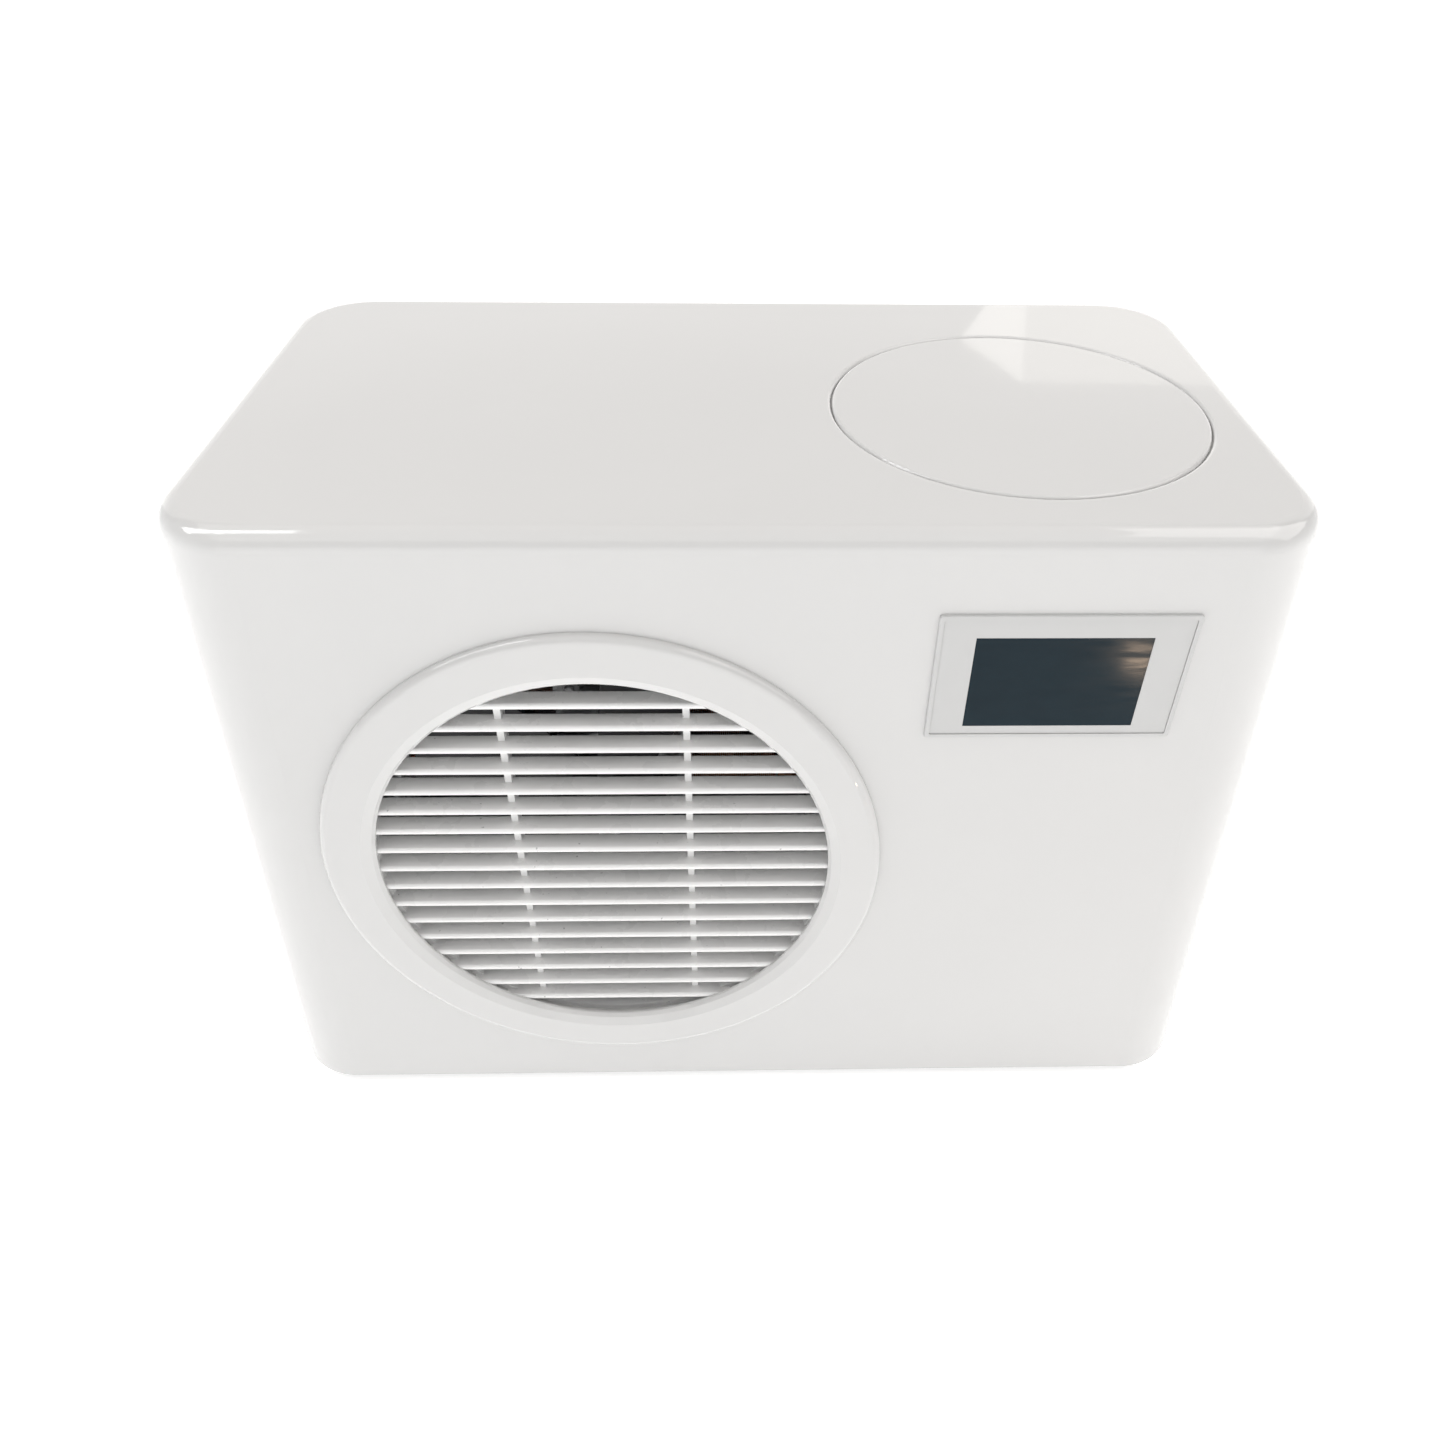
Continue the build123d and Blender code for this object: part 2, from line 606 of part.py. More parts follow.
with BuildPart() as screen_glass:
    with BuildSketch(SCREEN.offset(PANEL_BACK)):
        with Locations(LCD_SHIFT):
            Rectangle(LCD_W - 2 * GLASS_FREE, LCD_H - 2 * GLASS_FREE)
    extrude(amount=PANEL_THICK - GLASS_FREE)
save(screen_glass, "screen_glass")

LCD_MODULE_THICK = 3.6
SPACER_LENGTH = 2.0
SPACER_R = 2.5
with BuildPart() as lcd_module:
    with BuildSketch(SCREEN.offset(PANEL_BACK)):
        Rectangle(LCD_MODULE_W, LCD_MODULE_H)
    extrude(amount=-LCD_MODULE_THICK)
    with BuildSketch(SCREEN.offset(PANEL_BACK - LCD_MODULE_THICK)):
        with GridLocations(LCD_MODULE_W - 4 * SPACER_R, LCD_MODULE_H - 4 * SPACER_R, 2, 2):
            Circle(SPACER_R)
    extrude(amount=-SPACER_LENGTH)
save(lcd_module, "lcd_module")

BOARD_THICK = 1.6
DISPLAY_BOARD_W = LCD_MODULE_W + 14.0
DISPLAY_BOARD_H = LCD_MODULE_H - 2.0
BOARD_FACE = SCREEN.offset(PANEL_BACK - LCD_MODULE_THICK - SPACER_LENGTH)
DISPLAY_CHIPS = {(-30, 5): (14, 14), (20, 10): (10, 10), (45, -25): (16, 8)}
CHIP_THICK = 2.0
with BuildPart() as display_board:
    with BuildSketch(BOARD_FACE):
        Rectangle(DISPLAY_BOARD_W, DISPLAY_BOARD_H)
    extrude(amount=-BOARD_THICK)
    with BuildSketch(BOARD_FACE.offset(-BOARD_THICK)):
        for chip_place, chip_size in DISPLAY_CHIPS.items():
            with Locations(chip_place):
                Rectangle(*chip_size)
    extrude(amount=-CHIP_THICK)
save(display_board, "display_board")

# ---- Lid, its gasket and the tray under it --------------------------------------------
LID_THICK = 3.2
LID_SEAL = 0.8
LID_EDGE_R = 2.6
LID_SKIRT_THICK = 3.0
LID_RIB = 2.0
LID_SKIRT_Z = 484.0
LID_RIB_Z = 490.0
TRAY_SEAT_Z = TOP_Z - WALL
TRAY_WALL = 2.5
TRAY_RIM = 10.0
TRAY_RIM_THICK = 3.0
CAP_R = 86.0
LID_PLANE = Plane(origin=(LID_X, LID_Y, 0))


def lid_level(z):
    """Horizontal plane at height z centred on the lid."""
    return LID_PLANE.offset(z)


with BuildPart() as filter_lid:
    with BuildSketch(lid_level(TOP_Z - LID_THICK)):
        Circle(LID_HOLE_R - LID_GAP)
    extrude(amount=LID_THICK)
    fillet(filter_lid.edges().group_by(Axis.Z)[-1], LID_EDGE_R)
    with BuildSketch(lid_level(LID_SKIRT_Z)):
        Circle(TRAY_R - LID_SKIRT_THICK)
        Circle(TRAY_R - 2 * LID_SKIRT_THICK, mode=Mode.SUBTRACT)
    extrude(amount=TOP_Z - LID_THICK - LID_SKIRT_Z)
    with BuildSketch(lid_level(LID_RIB_Z)):
        for angle in (0, 45, 90, 135):
            Rectangle(2 * TRAY_R - 3 * LID_SKIRT_THICK, LID_RIB, rotation=angle)
    extrude(amount=TOP_Z - LID_THICK - LID_RIB_Z)
save(filter_lid, "filter_lid")

with BuildPart() as lid_gasket:
    with BuildSketch(lid_level(TRAY_SEAT_Z)):
        Circle(LID_HOLE_R - LID_GAP - GAP)
        Circle(TRAY_R - TRAY_WALL, mode=Mode.SUBTRACT)
    extrude(amount=LID_SEAL)
save(lid_gasket, "lid_gasket")

CANISTER_TOP_Z = TRAY_FLOOR_Z + 4.0
CANISTER_NECK_R = CANISTER_R + 4.0
with BuildPart() as filter_tray:
    with BuildSketch(lid_level(TRAY_FLOOR_Z)):
        Circle(TRAY_R)
    extrude(amount=TRAY_SEAT_Z - TRAY_FLOOR_Z)
    with BuildSketch(lid_level(TRAY_SEAT_Z - TRAY_RIM_THICK)):
        Circle(LID_HOLE_R + TRAY_RIM)
    extrude(amount=TRAY_RIM_THICK)
    with BuildSketch(lid_level(TRAY_FLOOR_Z + TRAY_WALL)):
        Circle(TRAY_R - TRAY_WALL)
    extrude(amount=TRAY_SEAT_Z - TRAY_FLOOR_Z, mode=Mode.SUBTRACT)
    with BuildSketch(lid_level(TRAY_FLOOR_Z)):
        Circle(CANISTER_NECK_R + GAP)
    extrude(amount=TRAY_WALL, mode=Mode.SUBTRACT)
save(filter_tray, "filter_tray")

# ---- Filter canister, cap, seal and cartridge -----------------------------------------
CANISTER_WALL = 4.0
CAP_Z = CANISTER_TOP_Z + GAP
CAP_THICK = 10.0
CAP_EDGE_R = 3.0
CAP_SKIRT = 4.0
GRIP_BAR = (130.0, 16.0)
CAP_RIDGES = 24
CAP_RIDGE = (8.0, 3.0, 2.0)
CAP_PLUG_R = CANISTER_R - CANISTER_WALL - 0.6
CAP_PLUG_LENGTH = 20.0
GRIP_BAR_TOP_Z = 482.0
SEAL_SECTION_R = 1.5
SEAL_Z = CAP_Z - 10.0
SEAL_R = CANISTER_R - CANISTER_WALL - 0.1 - SEAL_SECTION_R
SEAL_FREE = 0.2
NECK_DEEP = 10.0
CANISTER_EDGE_R = 10.0
canister_section = Plane(origin=(LID_X, LID_Y, 0), x_dir=(1, 0, 0), z_dir=(0, -1, 0))
canister_axis = Axis((LID_X, LID_Y, 0), (0, 0, 1))
with BuildPart() as filter_canister:
    with BuildSketch(lid_level(CANISTER_LOW_Z)):
        Circle(CANISTER_R)
    extrude(amount=CANISTER_TOP_Z - CANISTER_LOW_Z)
    with BuildSketch(lid_level(TRAY_FLOOR_Z - NECK_DEEP)):
        Circle(CANISTER_NECK_R)
    extrude(amount=CANISTER_TOP_Z - TRAY_FLOOR_Z + NECK_DEEP)
    fillet(filter_canister.edges().group_by(Axis.Z)[0], CANISTER_EDGE_R)
    with BuildSketch(lid_level(CANISTER_LOW_Z + CANISTER_WALL)):
        Circle(CANISTER_R - CANISTER_WALL)
    extrude(amount=CANISTER_TOP_Z - CANISTER_LOW_Z, mode=Mode.SUBTRACT)
save(filter_canister, "filter_canister")

with BuildPart() as filter_cap:
    with BuildSketch(lid_level(CAP_Z)):
        Circle(CAP_R)
    extrude(amount=CAP_THICK)
    fillet(filter_cap.edges().group_by(Axis.Z)[-1], CAP_EDGE_R)
    with BuildSketch(lid_level(CAP_Z - CAP_PLUG_LENGTH)):
        Circle(CAP_PLUG_R)
    extrude(amount=CAP_PLUG_LENGTH)
    with BuildSketch(lid_level(CAP_Z - CAP_PLUG_LENGTH)):
        Circle(CAP_PLUG_R - CAP_SKIRT)
    extrude(amount=CAP_PLUG_LENGTH, mode=Mode.SUBTRACT)
    with BuildSketch(lid_level(CAP_Z + CAP_THICK)):
        SlotOverall(*GRIP_BAR)
    extrude(amount=GRIP_BAR_TOP_Z - CAP_Z - CAP_THICK)
    with BuildSketch(lid_level(CAP_Z + CAP_THICK)):
        with PolarLocations(CAP_R - 2 * CAP_EDGE_R, CAP_RIDGES):
            Rectangle(CAP_RIDGE[0], CAP_RIDGE[1])
    extrude(amount=CAP_RIDGE[2])
    with BuildSketch(canister_section):
        with Locations((SEAL_R, SEAL_Z)):
            Rectangle(2 * SEAL_SECTION_R, 2 * (SEAL_SECTION_R + SEAL_FREE))
    revolve(axis=canister_axis, mode=Mode.SUBTRACT)
save(filter_cap, "filter_cap")

with BuildPart() as cap_seal:
    with BuildSketch(canister_section):
        with Locations((SEAL_R, SEAL_Z)):
            Circle(SEAL_SECTION_R)
    revolve(axis=canister_axis)
save(cap_seal, "cap_seal")

CARTRIDGE_R = 62.0
CARTRIDGE_LOW_Z = CANISTER_LOW_Z + CANISTER_WALL
CARTRIDGE_HIGH_Z = 424.0
END_CAP = 10.0
CORE_R = 20.0
PLEATS = 36
PLEAT_DEPTH = 14.0
PLEAT_STEP = 180.0 / PLEATS
pleat_radii = [CARTRIDGE_R - PLEAT_DEPTH, CARTRIDGE_R] * PLEATS
pleat_points = [
    Vector(radius, 0).rotate(Axis.Z, step * PLEAT_STEP) for step, radius in enumerate(pleat_radii)
]
with BuildPart() as filter_cartridge:
    with BuildSketch(lid_level(CARTRIDGE_LOW_Z + END_CAP)):
        with BuildLine():
            Polyline(*pleat_points, close=True)
        make_face()
        Circle(CORE_R, mode=Mode.SUBTRACT)
    extrude(amount=CARTRIDGE_HIGH_Z - CARTRIDGE_LOW_Z - 2 * END_CAP)
    for level in (CARTRIDGE_LOW_Z, CARTRIDGE_HIGH_Z - END_CAP):
        with BuildSketch(lid_level(level)):
            Circle(CARTRIDGE_R + 2)
            Circle(CORE_R, mode=Mode.SUBTRACT)
        extrude(amount=END_CAP)
save(filter_cartridge, "filter_cartridge")

# ---- Side grips: moulded hand pockets in both ends ------------------------------------
GRIP_IN_W = GRIP_W - GAP - 2 * GRIP_WALL
GRIP_IN_H = GRIP_H - GAP - 2 * GRIP_WALL
for side_name, grip_plane in GRIPS.items():
    with BuildPart() as side_grip:
        with BuildSketch(grip_plane):
            RectangleRounded(GRIP_W + 2 * GRIP_FLANGE, GRIP_H + 2 * GRIP_FLANGE, GRIP_R + GRIP_FLANGE / 2)
        extrude(amount=SHEET)
        fillet(side_grip.faces().filter_by(grip_plane)[-1].edges(), SHEET / 2)
        with BuildSketch(grip_plane):
            RectangleRounded(GRIP_W - GAP, GRIP_H - GAP, GRIP_R - GAP)
        extrude(amount=-GRIP_DEEP)
        with BuildSketch(grip_plane.offset(SHEET)):
            RectangleRounded(GRIP_IN_W, GRIP_IN_H, GRIP_R - GRIP_WALL - GAP)
        extrude(amount=-GRIP_DEEP - SHEET + GRIP_WALL, mode=Mode.SUBTRACT)
    save(side_grip, f"side_grip_{side_name}")

# ---- Rear service panel: a dished plate that holds the ports, inlet and switch --------
DISH_W = SERVICE_W - 2 * FLANGE - GAP
DISH_H = SERVICE_H - 2 * FLANGE - GAP
DISH_FLOOR = SERVICE_DEEP - SHEET
PORT_CENTRES = {"water_inlet_port": LID_X, "water_outlet_port": EXCHANGER_X}
SOCKET_X = 245.0
SWITCH_X = 190.0
ELECTRIC_Z = 335.0
SOCKET_W = 28.0
SOCKET_H = 20.0
SWITCH_W = 14.0
SWITCH_H = 27.0


def dish_plane(x, z):
    """Plane on the dished floor of the service panel at (x, z), facing out."""
    return rear_plane(x, z).offset(-DISH_FLOOR)


with BuildPart() as rear_panel:
    with BuildSketch(REAR_SERVICE):
        RectangleRounded(SERVICE_W, SERVICE_H, REAR_PLATE_R)
    extrude(amount=SHEET)
    with BuildSketch(REAR_SERVICE):
        RectangleRounded(DISH_W, DISH_H, REAR_CUT_R)
    extrude(amount=-SERVICE_DEEP)
    with BuildSketch(REAR_SERVICE.offset(SHEET)):
        RectangleRounded(DISH_W - 2 * SHEET, DISH_H - 2 * SHEET, REAR_CUT_R - SHEET)
    extrude(amount=-DISH_FLOOR - SHEET, mode=Mode.SUBTRACT)
    for port_x in PORT_CENTRES.values():
        with BuildSketch(dish_plane(port_x, PORT_Z)):
            Circle(PORT_THREAD_R + 3 * SCREW_FREE)
        extrude(amount=-2 * SHEET, mode=Mode.SUBTRACT)
    with BuildSketch(dish_plane(SOCKET_X, ELECTRIC_Z)):
        Rectangle(SOCKET_W + GAP, SOCKET_H + GAP)
    extrude(amount=-2 * SHEET, mode=Mode.SUBTRACT)
    with BuildSketch(dish_plane(SWITCH_X, ELECTRIC_Z)):
        Rectangle(SWITCH_W + GAP, SWITCH_H + GAP)
    extrude(amount=-2 * SHEET, mode=Mode.SUBTRACT)
    for screw_plane in service_screw_planes:
        with BuildSketch(screw_plane):
            Circle(SCREW_R + SCREW_FREE)
        extrude(amount=SHEET, mode=Mode.SUBTRACT)
save(rear_panel, "rear_panel")

# ---- Rear air intake guard ------------------------------------------------------------
INTAKE_BAR_PITCH = 16.6
INTAKE_BARS = 19
INTAKE_RIB_PITCH = 76.0
INTAKE_RIBS = 3
INTAKE_BAR = 4.4
INTAKE_RIM = FLANGE + 4.0
INTAKE_OPEN_W = INTAKE_W - 2 * INTAKE_RIM
INTAKE_OPEN_H = INTAKE_H - 2 * INTAKE_RIM
GUARD_THICK = 3.0
with BuildPart() as rear_grille:
    with BuildSketch(REAR_INTAKE):
        RectangleRounded(INTAKE_W, INTAKE_H, REAR_PLATE_R)
        RectangleRounded(INTAKE_OPEN_W, INTAKE_OPEN_H, REAR_CUT_R - SHEET, mode=Mode.SUBTRACT)
        with GridLocations(0, INTAKE_BAR_PITCH, 1, INTAKE_BARS):
            Rectangle(INTAKE_W - FLANGE, INTAKE_BAR)
        with GridLocations(INTAKE_RIB_PITCH, 0, INTAKE_RIBS, 1):
            Rectangle(INTAKE_BAR, INTAKE_H - FLANGE)
    extrude(amount=GUARD_THICK)
    for screw_plane in intake_screw_planes:
        with BuildSketch(screw_plane):
            Circle(SCREW_R + SCREW_FREE)
        extrude(amount=GUARD_THICK, mode=Mode.SUBTRACT)
save(rear_grille, "rear_grille")

rear_screw_planes = planes_at(REAR_SERVICE.offset(SHEET), service_screw_offsets)
rear_screw_planes += planes_at(REAR_INTAKE.offset(GUARD_THICK), intake_screw_offsets)
rear_screws = screw_group(rear_screw_planes, 3.8, 2, SCREW_R, 10)
save(rear_screws, "rear_screws")

# ---- Water ports: flanged unions with a male thread and an inner hose tail ------------
PORT_FLANGE_R = 19.0
PORT_FLANGE_THICK = 4.0
PORT_NUT_THICK = 8.0
PORT_TAIL_R = 10.5
PORT_TAIL_END = 34.0
for port_name, port_x in PORT_CENTRES.items():
    port_plane = dish_plane(port_x, PORT_Z)
    with BuildPart() as water_port:
        with BuildSketch(port_plane):
            Circle(PORT_FLANGE_R)
        extrude(amount=PORT_FLANGE_THICK)
        with BuildSketch(port_plane.offset(PORT_FLANGE_THICK)):
            Circle(PORT_THREAD_R)
        extrude(amount=PORT_THREAD_LENGTH)
        port_faces = water_port.faces().filter_by(port_plane)
        mouth = port_faces.sort_by(Axis(port_plane.origin, port_plane.z_dir))[-1]
        chamfer(mouth.edges(), 1)
        with BuildSketch(port_plane):
            Circle(PORT_THREAD_R)
        extrude(amount=-SHEET)
        with BuildSketch(port_plane.offset(-SHEET)):
            RegularPolygon(PORT_FLANGE_R, 6)
        extrude(amount=-PORT_NUT_THICK)
        with BuildSketch(port_plane.offset(-SHEET - PORT_NUT_THICK)):
            Circle(PORT_TAIL_R)
        extrude(amount=SHEET + PORT_NUT_THICK - PORT_TAIL_END)
        with BuildSketch(port_plane.offset(PORT_FLANGE_THICK + PORT_THREAD_LENGTH)):
            Circle(PORT_BORE_R)
        extrude(amount=-PORT_FLANGE_THICK - PORT_THREAD_LENGTH - PORT_TAIL_END, mode=Mode.SUBTRACT)
    save(water_port, port_name)

# ---- Mains inlet with its three pins --------------------------------------------------
SOCKET_FLANGE = (50.0, 24.0, 4.0)
SOCKET_FLANGE_THICK = 3.0
SOCKET_KEY = 4.0
PIN_PLACES = [(-7, -2), (7, -2), (0, 2)]
PIN_SECTION = (2.0, 4.0)
PIN_LENGTH = 11.0
SOCKET_CAVITY_W = 24.6
SOCKET_CAVITY_H = 16.6
SOCKET_CAVITY_DEEP = 16.5
socket_plane = dish_plane(SOCKET_X, ELECTRIC_Z)
socket_floor = socket_plane.offset(SOCKET_FLANGE_THICK - SOCKET_CAVITY_DEEP)
with BuildPart() as power_inlet:
    with BuildSketch(socket_plane):
        RectangleRounded(*SOCKET_FLANGE)
    extrude(amount=SOCKET_FLANGE_THICK)
    with BuildSketch(socket_plane):
        Rectangle(SOCKET_W, SOCKET_H)
    extrude(amount=-SOCKET_CAVITY_DEEP - SHEET)
    with BuildSketch(socket_plane.offset(SOCKET_FLANGE_THICK)) as cavity:
        Rectangle(SOCKET_CAVITY_W, SOCKET_CAVITY_H)
        chamfer(cavity.vertices().group_by(Axis.Y)[-1], SOCKET_KEY)
    extrude(amount=-SOCKET_CAVITY_DEEP, mode=Mode.SUBTRACT)
save(power_inlet, "power_inlet")

with BuildPart() as power_inlet_pins:
    with BuildSketch(socket_floor):
        with Locations(*PIN_PLACES):
            Rectangle(*PIN_SECTION)
    extrude(amount=PIN_LENGTH)
save(power_inlet_pins, "power_inlet_pins")

# ---- Rocker switch: frame and a rocker that tips about a level pin --------------------
SWITCH_FLANGE = 2.0
SWITCH_LIP = 2.2
SWITCH_WINDOW = (10.8, 22.4)
SWITCH_DEEP = 17.0
ROCKER_TILT = 9.0
ROCKER_HALF = 9.5
ROCKER_W = 10.0
ROCKER_PIVOT = -4.0
switch_plane = dish_plane(SWITCH_X, ELECTRIC_Z)
pivot_origin = switch_plane.from_local_coords((0, 0, ROCKER_PIVOT))
rocker_section = Plane(origin=pivot_origin, x_dir=switch_plane.y_dir, z_dir=(-1, 0, 0))
with BuildPart() as switch_frame:
    with BuildSketch(switch_plane):
        RectangleRounded(SWITCH_W + 2 * SWITCH_LIP, SWITCH_H + 2 * SWITCH_LIP, SWITCH_LIP)
    extrude(amount=SWITCH_FLANGE)
    with BuildSketch(switch_plane):
        Rectangle(SWITCH_W, SWITCH_H)
    extrude(amount=-SWITCH_DEEP)
    with BuildSketch(switch_plane.offset(SWITCH_FLANGE)):
        Rectangle(*SWITCH_WINDOW)
    extrude(amount=-SWITCH_DEEP, mode=Mode.SUBTRACT)
save(switch_frame, "switch_frame")

ROCKER_EDGE = 2.0
ROCKER_TIP = 9.0
ROCKER_VALLEY = 6.5
ROCKER_TAIL = -3.0
ROCKER_TAIL_HALF = 5.0
with BuildPart() as switch_rocker:
    with BuildSketch(rocker_section):
        with BuildLine():
            Polyline(
                (-ROCKER_HALF, ROCKER_EDGE),
                (-ROCKER_HALF, ROCKER_TIP),
                (0, ROCKER_VALLEY),
                (ROCKER_HALF, ROCKER_TIP),
                (ROCKER_HALF, ROCKER_EDGE),
                (ROCKER_TAIL_HALF, ROCKER_TAIL),
                (-ROCKER_TAIL_HALF, ROCKER_TAIL),
                close=True,
            )
        make_face()
    extrude(amount=ROCKER_W / 2, both=True)
switch_rocker.part = switch_rocker.part.rotate(Axis(pivot_origin, (-1, 0, 0)), ROCKER_TILT)
save(switch_rocker, "switch_rocker")

# ---- Bulkhead between the fan side and the water side ---------------------------------
BULKHEAD_HIGH_Z = 400.0
BULKHEAD_HALF_DEPTH = 180.0
BULKHEAD_FOOT = 16.0
PIPE_HOLE_R = 8.0
LIQUID_Y = EXCHANGER_Y
LIQUID_Z = 46.0
with BuildPart() as bulkhead:
    with BuildSketch(Plane.YZ.offset(BULKHEAD_X)):
        with Locations((0, (PAN_FLOOR_Z + BULKHEAD_HIGH_Z) / 2)):
            Rectangle(2 * BULKHEAD_HALF_DEPTH, BULKHEAD_HIGH_Z - PAN_FLOOR_Z)
        with Locations((LIQUID_Y, LIQUID_Z)):
            Circle(PIPE_HOLE_R, mode=Mode.SUBTRACT)
    extrude(amount=SHEET)
    with BuildSketch(Plane.XY.offset(PAN_FLOOR_Z)):
        with Locations((BULKHEAD_X + BULKHEAD_FOOT / 2, 0)):
            Rectangle(BULKHEAD_FOOT, 2 * BULKHEAD_HALF_DEPTH)
    extrude(amount=SHEET)
save(bulkhead, "bulkhead")

# ---- Air coil: fin pack with copper hairpins ------------------------------------------
COIL_LEFT_X = -325.0
COIL_RIGHT_X = 40.0
COIL_Y = 130.5
COIL_DEPTH = 40.0
COIL_LOW_Z = 26.0
COIL_ROWS = 16
TUBE_PITCH = 23.0
TUBE_COLUMN = 21.0
TUBE_R = 4.75
TUBE_FREE = 0.05
COIL_HIGH_Z = COIL_LOW_Z + COIL_ROWS * TUBE_PITCH
COIL_MID_Z = (COIL_LOW_Z + COIL_HIGH_Z) / 2
END_PLATE = 1.5
PLATE_LIP = 3.0
coil_left_plane = Plane(
    origin=(COIL_LEFT_X, COIL_Y, COIL_MID_Z),
    x_dir=(0, 1, 0),
    z_dir=(1, 0, 0),
)
coil_length = COIL_RIGHT_X - COIL_LEFT_X
with BuildPart() as coil_fins:
    with BuildSketch(coil_left_plane):
        Rectangle(COIL_DEPTH, COIL_HIGH_Z - COIL_LOW_Z)
        with GridLocations(TUBE_COLUMN, TUBE_PITCH, 2, COIL_ROWS):
            Circle(TUBE_R + TUBE_FREE, mode=Mode.SUBTRACT)
    extrude(amount=coil_length)
save(coil_fins, "coil_fins")

with BuildPart() as coil_end_plates:
    for plate_offset in (-END_PLATE, coil_length):
        with BuildSketch(coil_left_plane.offset(plate_offset)):
            Rectangle(COIL_DEPTH + 2 * PLATE_LIP, COIL_HIGH_Z - PAN_FLOOR_Z)
            with GridLocations(TUBE_COLUMN, TUBE_PITCH, 2, COIL_ROWS):
                Circle(TUBE_R + TUBE_FREE, mode=Mode.SUBTRACT)
        extrude(amount=END_PLATE)
save(coil_end_plates, "coil_end_plates")

TUBE_STUB = 4.0
hairpin_columns = [COIL_Y - TUBE_COLUMN / 2, COIL_Y + TUBE_COLUMN / 2]
tube_levels = [COIL_LOW_Z + (row + 0.5) * TUBE_PITCH for row in range(COIL_ROWS)]
tube_start_x = COIL_RIGHT_X + END_PLATE + TUBE_STUB
tube_end_x = COIL_LEFT_X - END_PLATE - TUBE_STUB
with BuildPart() as coil_tubes:
    for column_y in hairpin_columns:
        for low_z in tube_levels[::2]:
            with BuildLine():
                high_z = low_z + TUBE_PITCH
                Line((tube_start_x, column_y, low_z), (tube_end_x, column_y, low_z))
                ThreePointArc(
                    (tube_end_x, column_y, low_z),
                    (tube_end_x - TUBE_PITCH / 2, column_y, low_z + TUBE_PITCH / 2),
                    (tube_end_x, column_y, high_z),
                )
                Line((tube_end_x, column_y, high_z), (tube_start_x, column_y, high_z))
            with BuildSketch(Plane(origin=(tube_start_x, column_y, low_z), z_dir=(-1, 0, 0))):
                Circle(TUBE_R)
            sweep()
    for column_y in hairpin_columns:
        for low_z in tube_levels[1:-1:2]:
            with BuildLine():
                ThreePointArc(
                    (tube_start_x, column_y, low_z),
                    (tube_start_x + TUBE_PITCH / 2, column_y, low_z + TUBE_PITCH / 2),
                    (tube_start_x, column_y, low_z + TUBE_PITCH),
                )
            with BuildSketch(Plane(origin=(tube_start_x, column_y, low_z), z_dir=(1, 0, 0))):
                Circle(TUBE_R)
            sweep()
save(coil_tubes, "coil_tubes")

# ---- Circulation pump: volute, impeller and motor on one level axis -------------------
PUMP_VOLUTE_R = 46.0
PUMP_BACK_Y = 60.0
PUMP_VOLUTE_LENGTH = 40.0
PUMP_FRONT_Y = PUMP_BACK_Y - PUMP_VOLUTE_LENGTH
PUMP_WALL = 4.0
PUMP_SHAFT_R = 5.0
PUMP_MOTOR_R = 40.0
PUMP_MOTOR_END_Y = -118.0
PUMP_INLET_R = 10.5
PUMP_INLET_END_Y = 84.0
port_tail = dish_plane(LID_X, PORT_Z).from_local_coords((0, 0, -PORT_TAIL_END))
PORT_LEVEL = port_tail.Z
PORT_TAIL_Y = port_tail.Y
PUMP_OUTLET_SHIFT = 30.0
PUMP_TUBE_WALL = 3.0
PUMP_FOOT = (60.0, 90.0, 3.0)
PUMP_SADDLE = (44.0, 6.0)
PUMP_SADDLE_YS = (-15, -85)
pump_outlet = Plane(
    origin=(LID_X - PUMP_OUTLET_SHIFT, (PUMP_BACK_Y + PUMP_FRONT_Y) / 2, PORT_Z),
    z_dir=(0, 0, 1),
)


def pump_plane(y):
    """Plane square to the pump's axis at depth y, facing the front."""
    return Plane(origin=(LID_X, y, PORT_Z), x_dir=(1, 0, 0), z_dir=(0, -1, 0))


with BuildPart() as pump_housing:
    with BuildSketch(pump_plane(PUMP_BACK_Y)):
        Circle(PUMP_VOLUTE_R)
    extrude(amount=PUMP_VOLUTE_LENGTH)
    with BuildSketch(pump_plane(PUMP_INLET_END_Y)):
        Circle(PUMP_INLET_R)
    extrude(amount=PUMP_INLET_END_Y - PUMP_BACK_Y)
    with BuildSketch(pump_outlet):
        Circle(PUMP_INLET_R)
    extrude(amount=CANISTER_LOW_Z - PORT_Z)
    with BuildSketch(pump_plane(PUMP_BACK_Y - PUMP_WALL)):
        Circle(PUMP_VOLUTE_R - PUMP_WALL)
    extrude(amount=PUMP_VOLUTE_LENGTH - 2 * PUMP_WALL, mode=Mode.SUBTRACT)
    with BuildSketch(pump_plane(PUMP_INLET_END_Y)):
        Circle(PUMP_INLET_R - PUMP_TUBE_WALL)
    extrude(amount=PUMP_INLET_END_Y - PUMP_BACK_Y + PUMP_WALL, mode=Mode.SUBTRACT)
    with BuildSketch(pump_plane(PUMP_FRONT_Y + PUMP_WALL)):
        Circle(PUMP_SHAFT_R + RUNNING_GAP)
    extrude(amount=PUMP_WALL, mode=Mode.SUBTRACT)
save(pump_housing, "pump_housing")

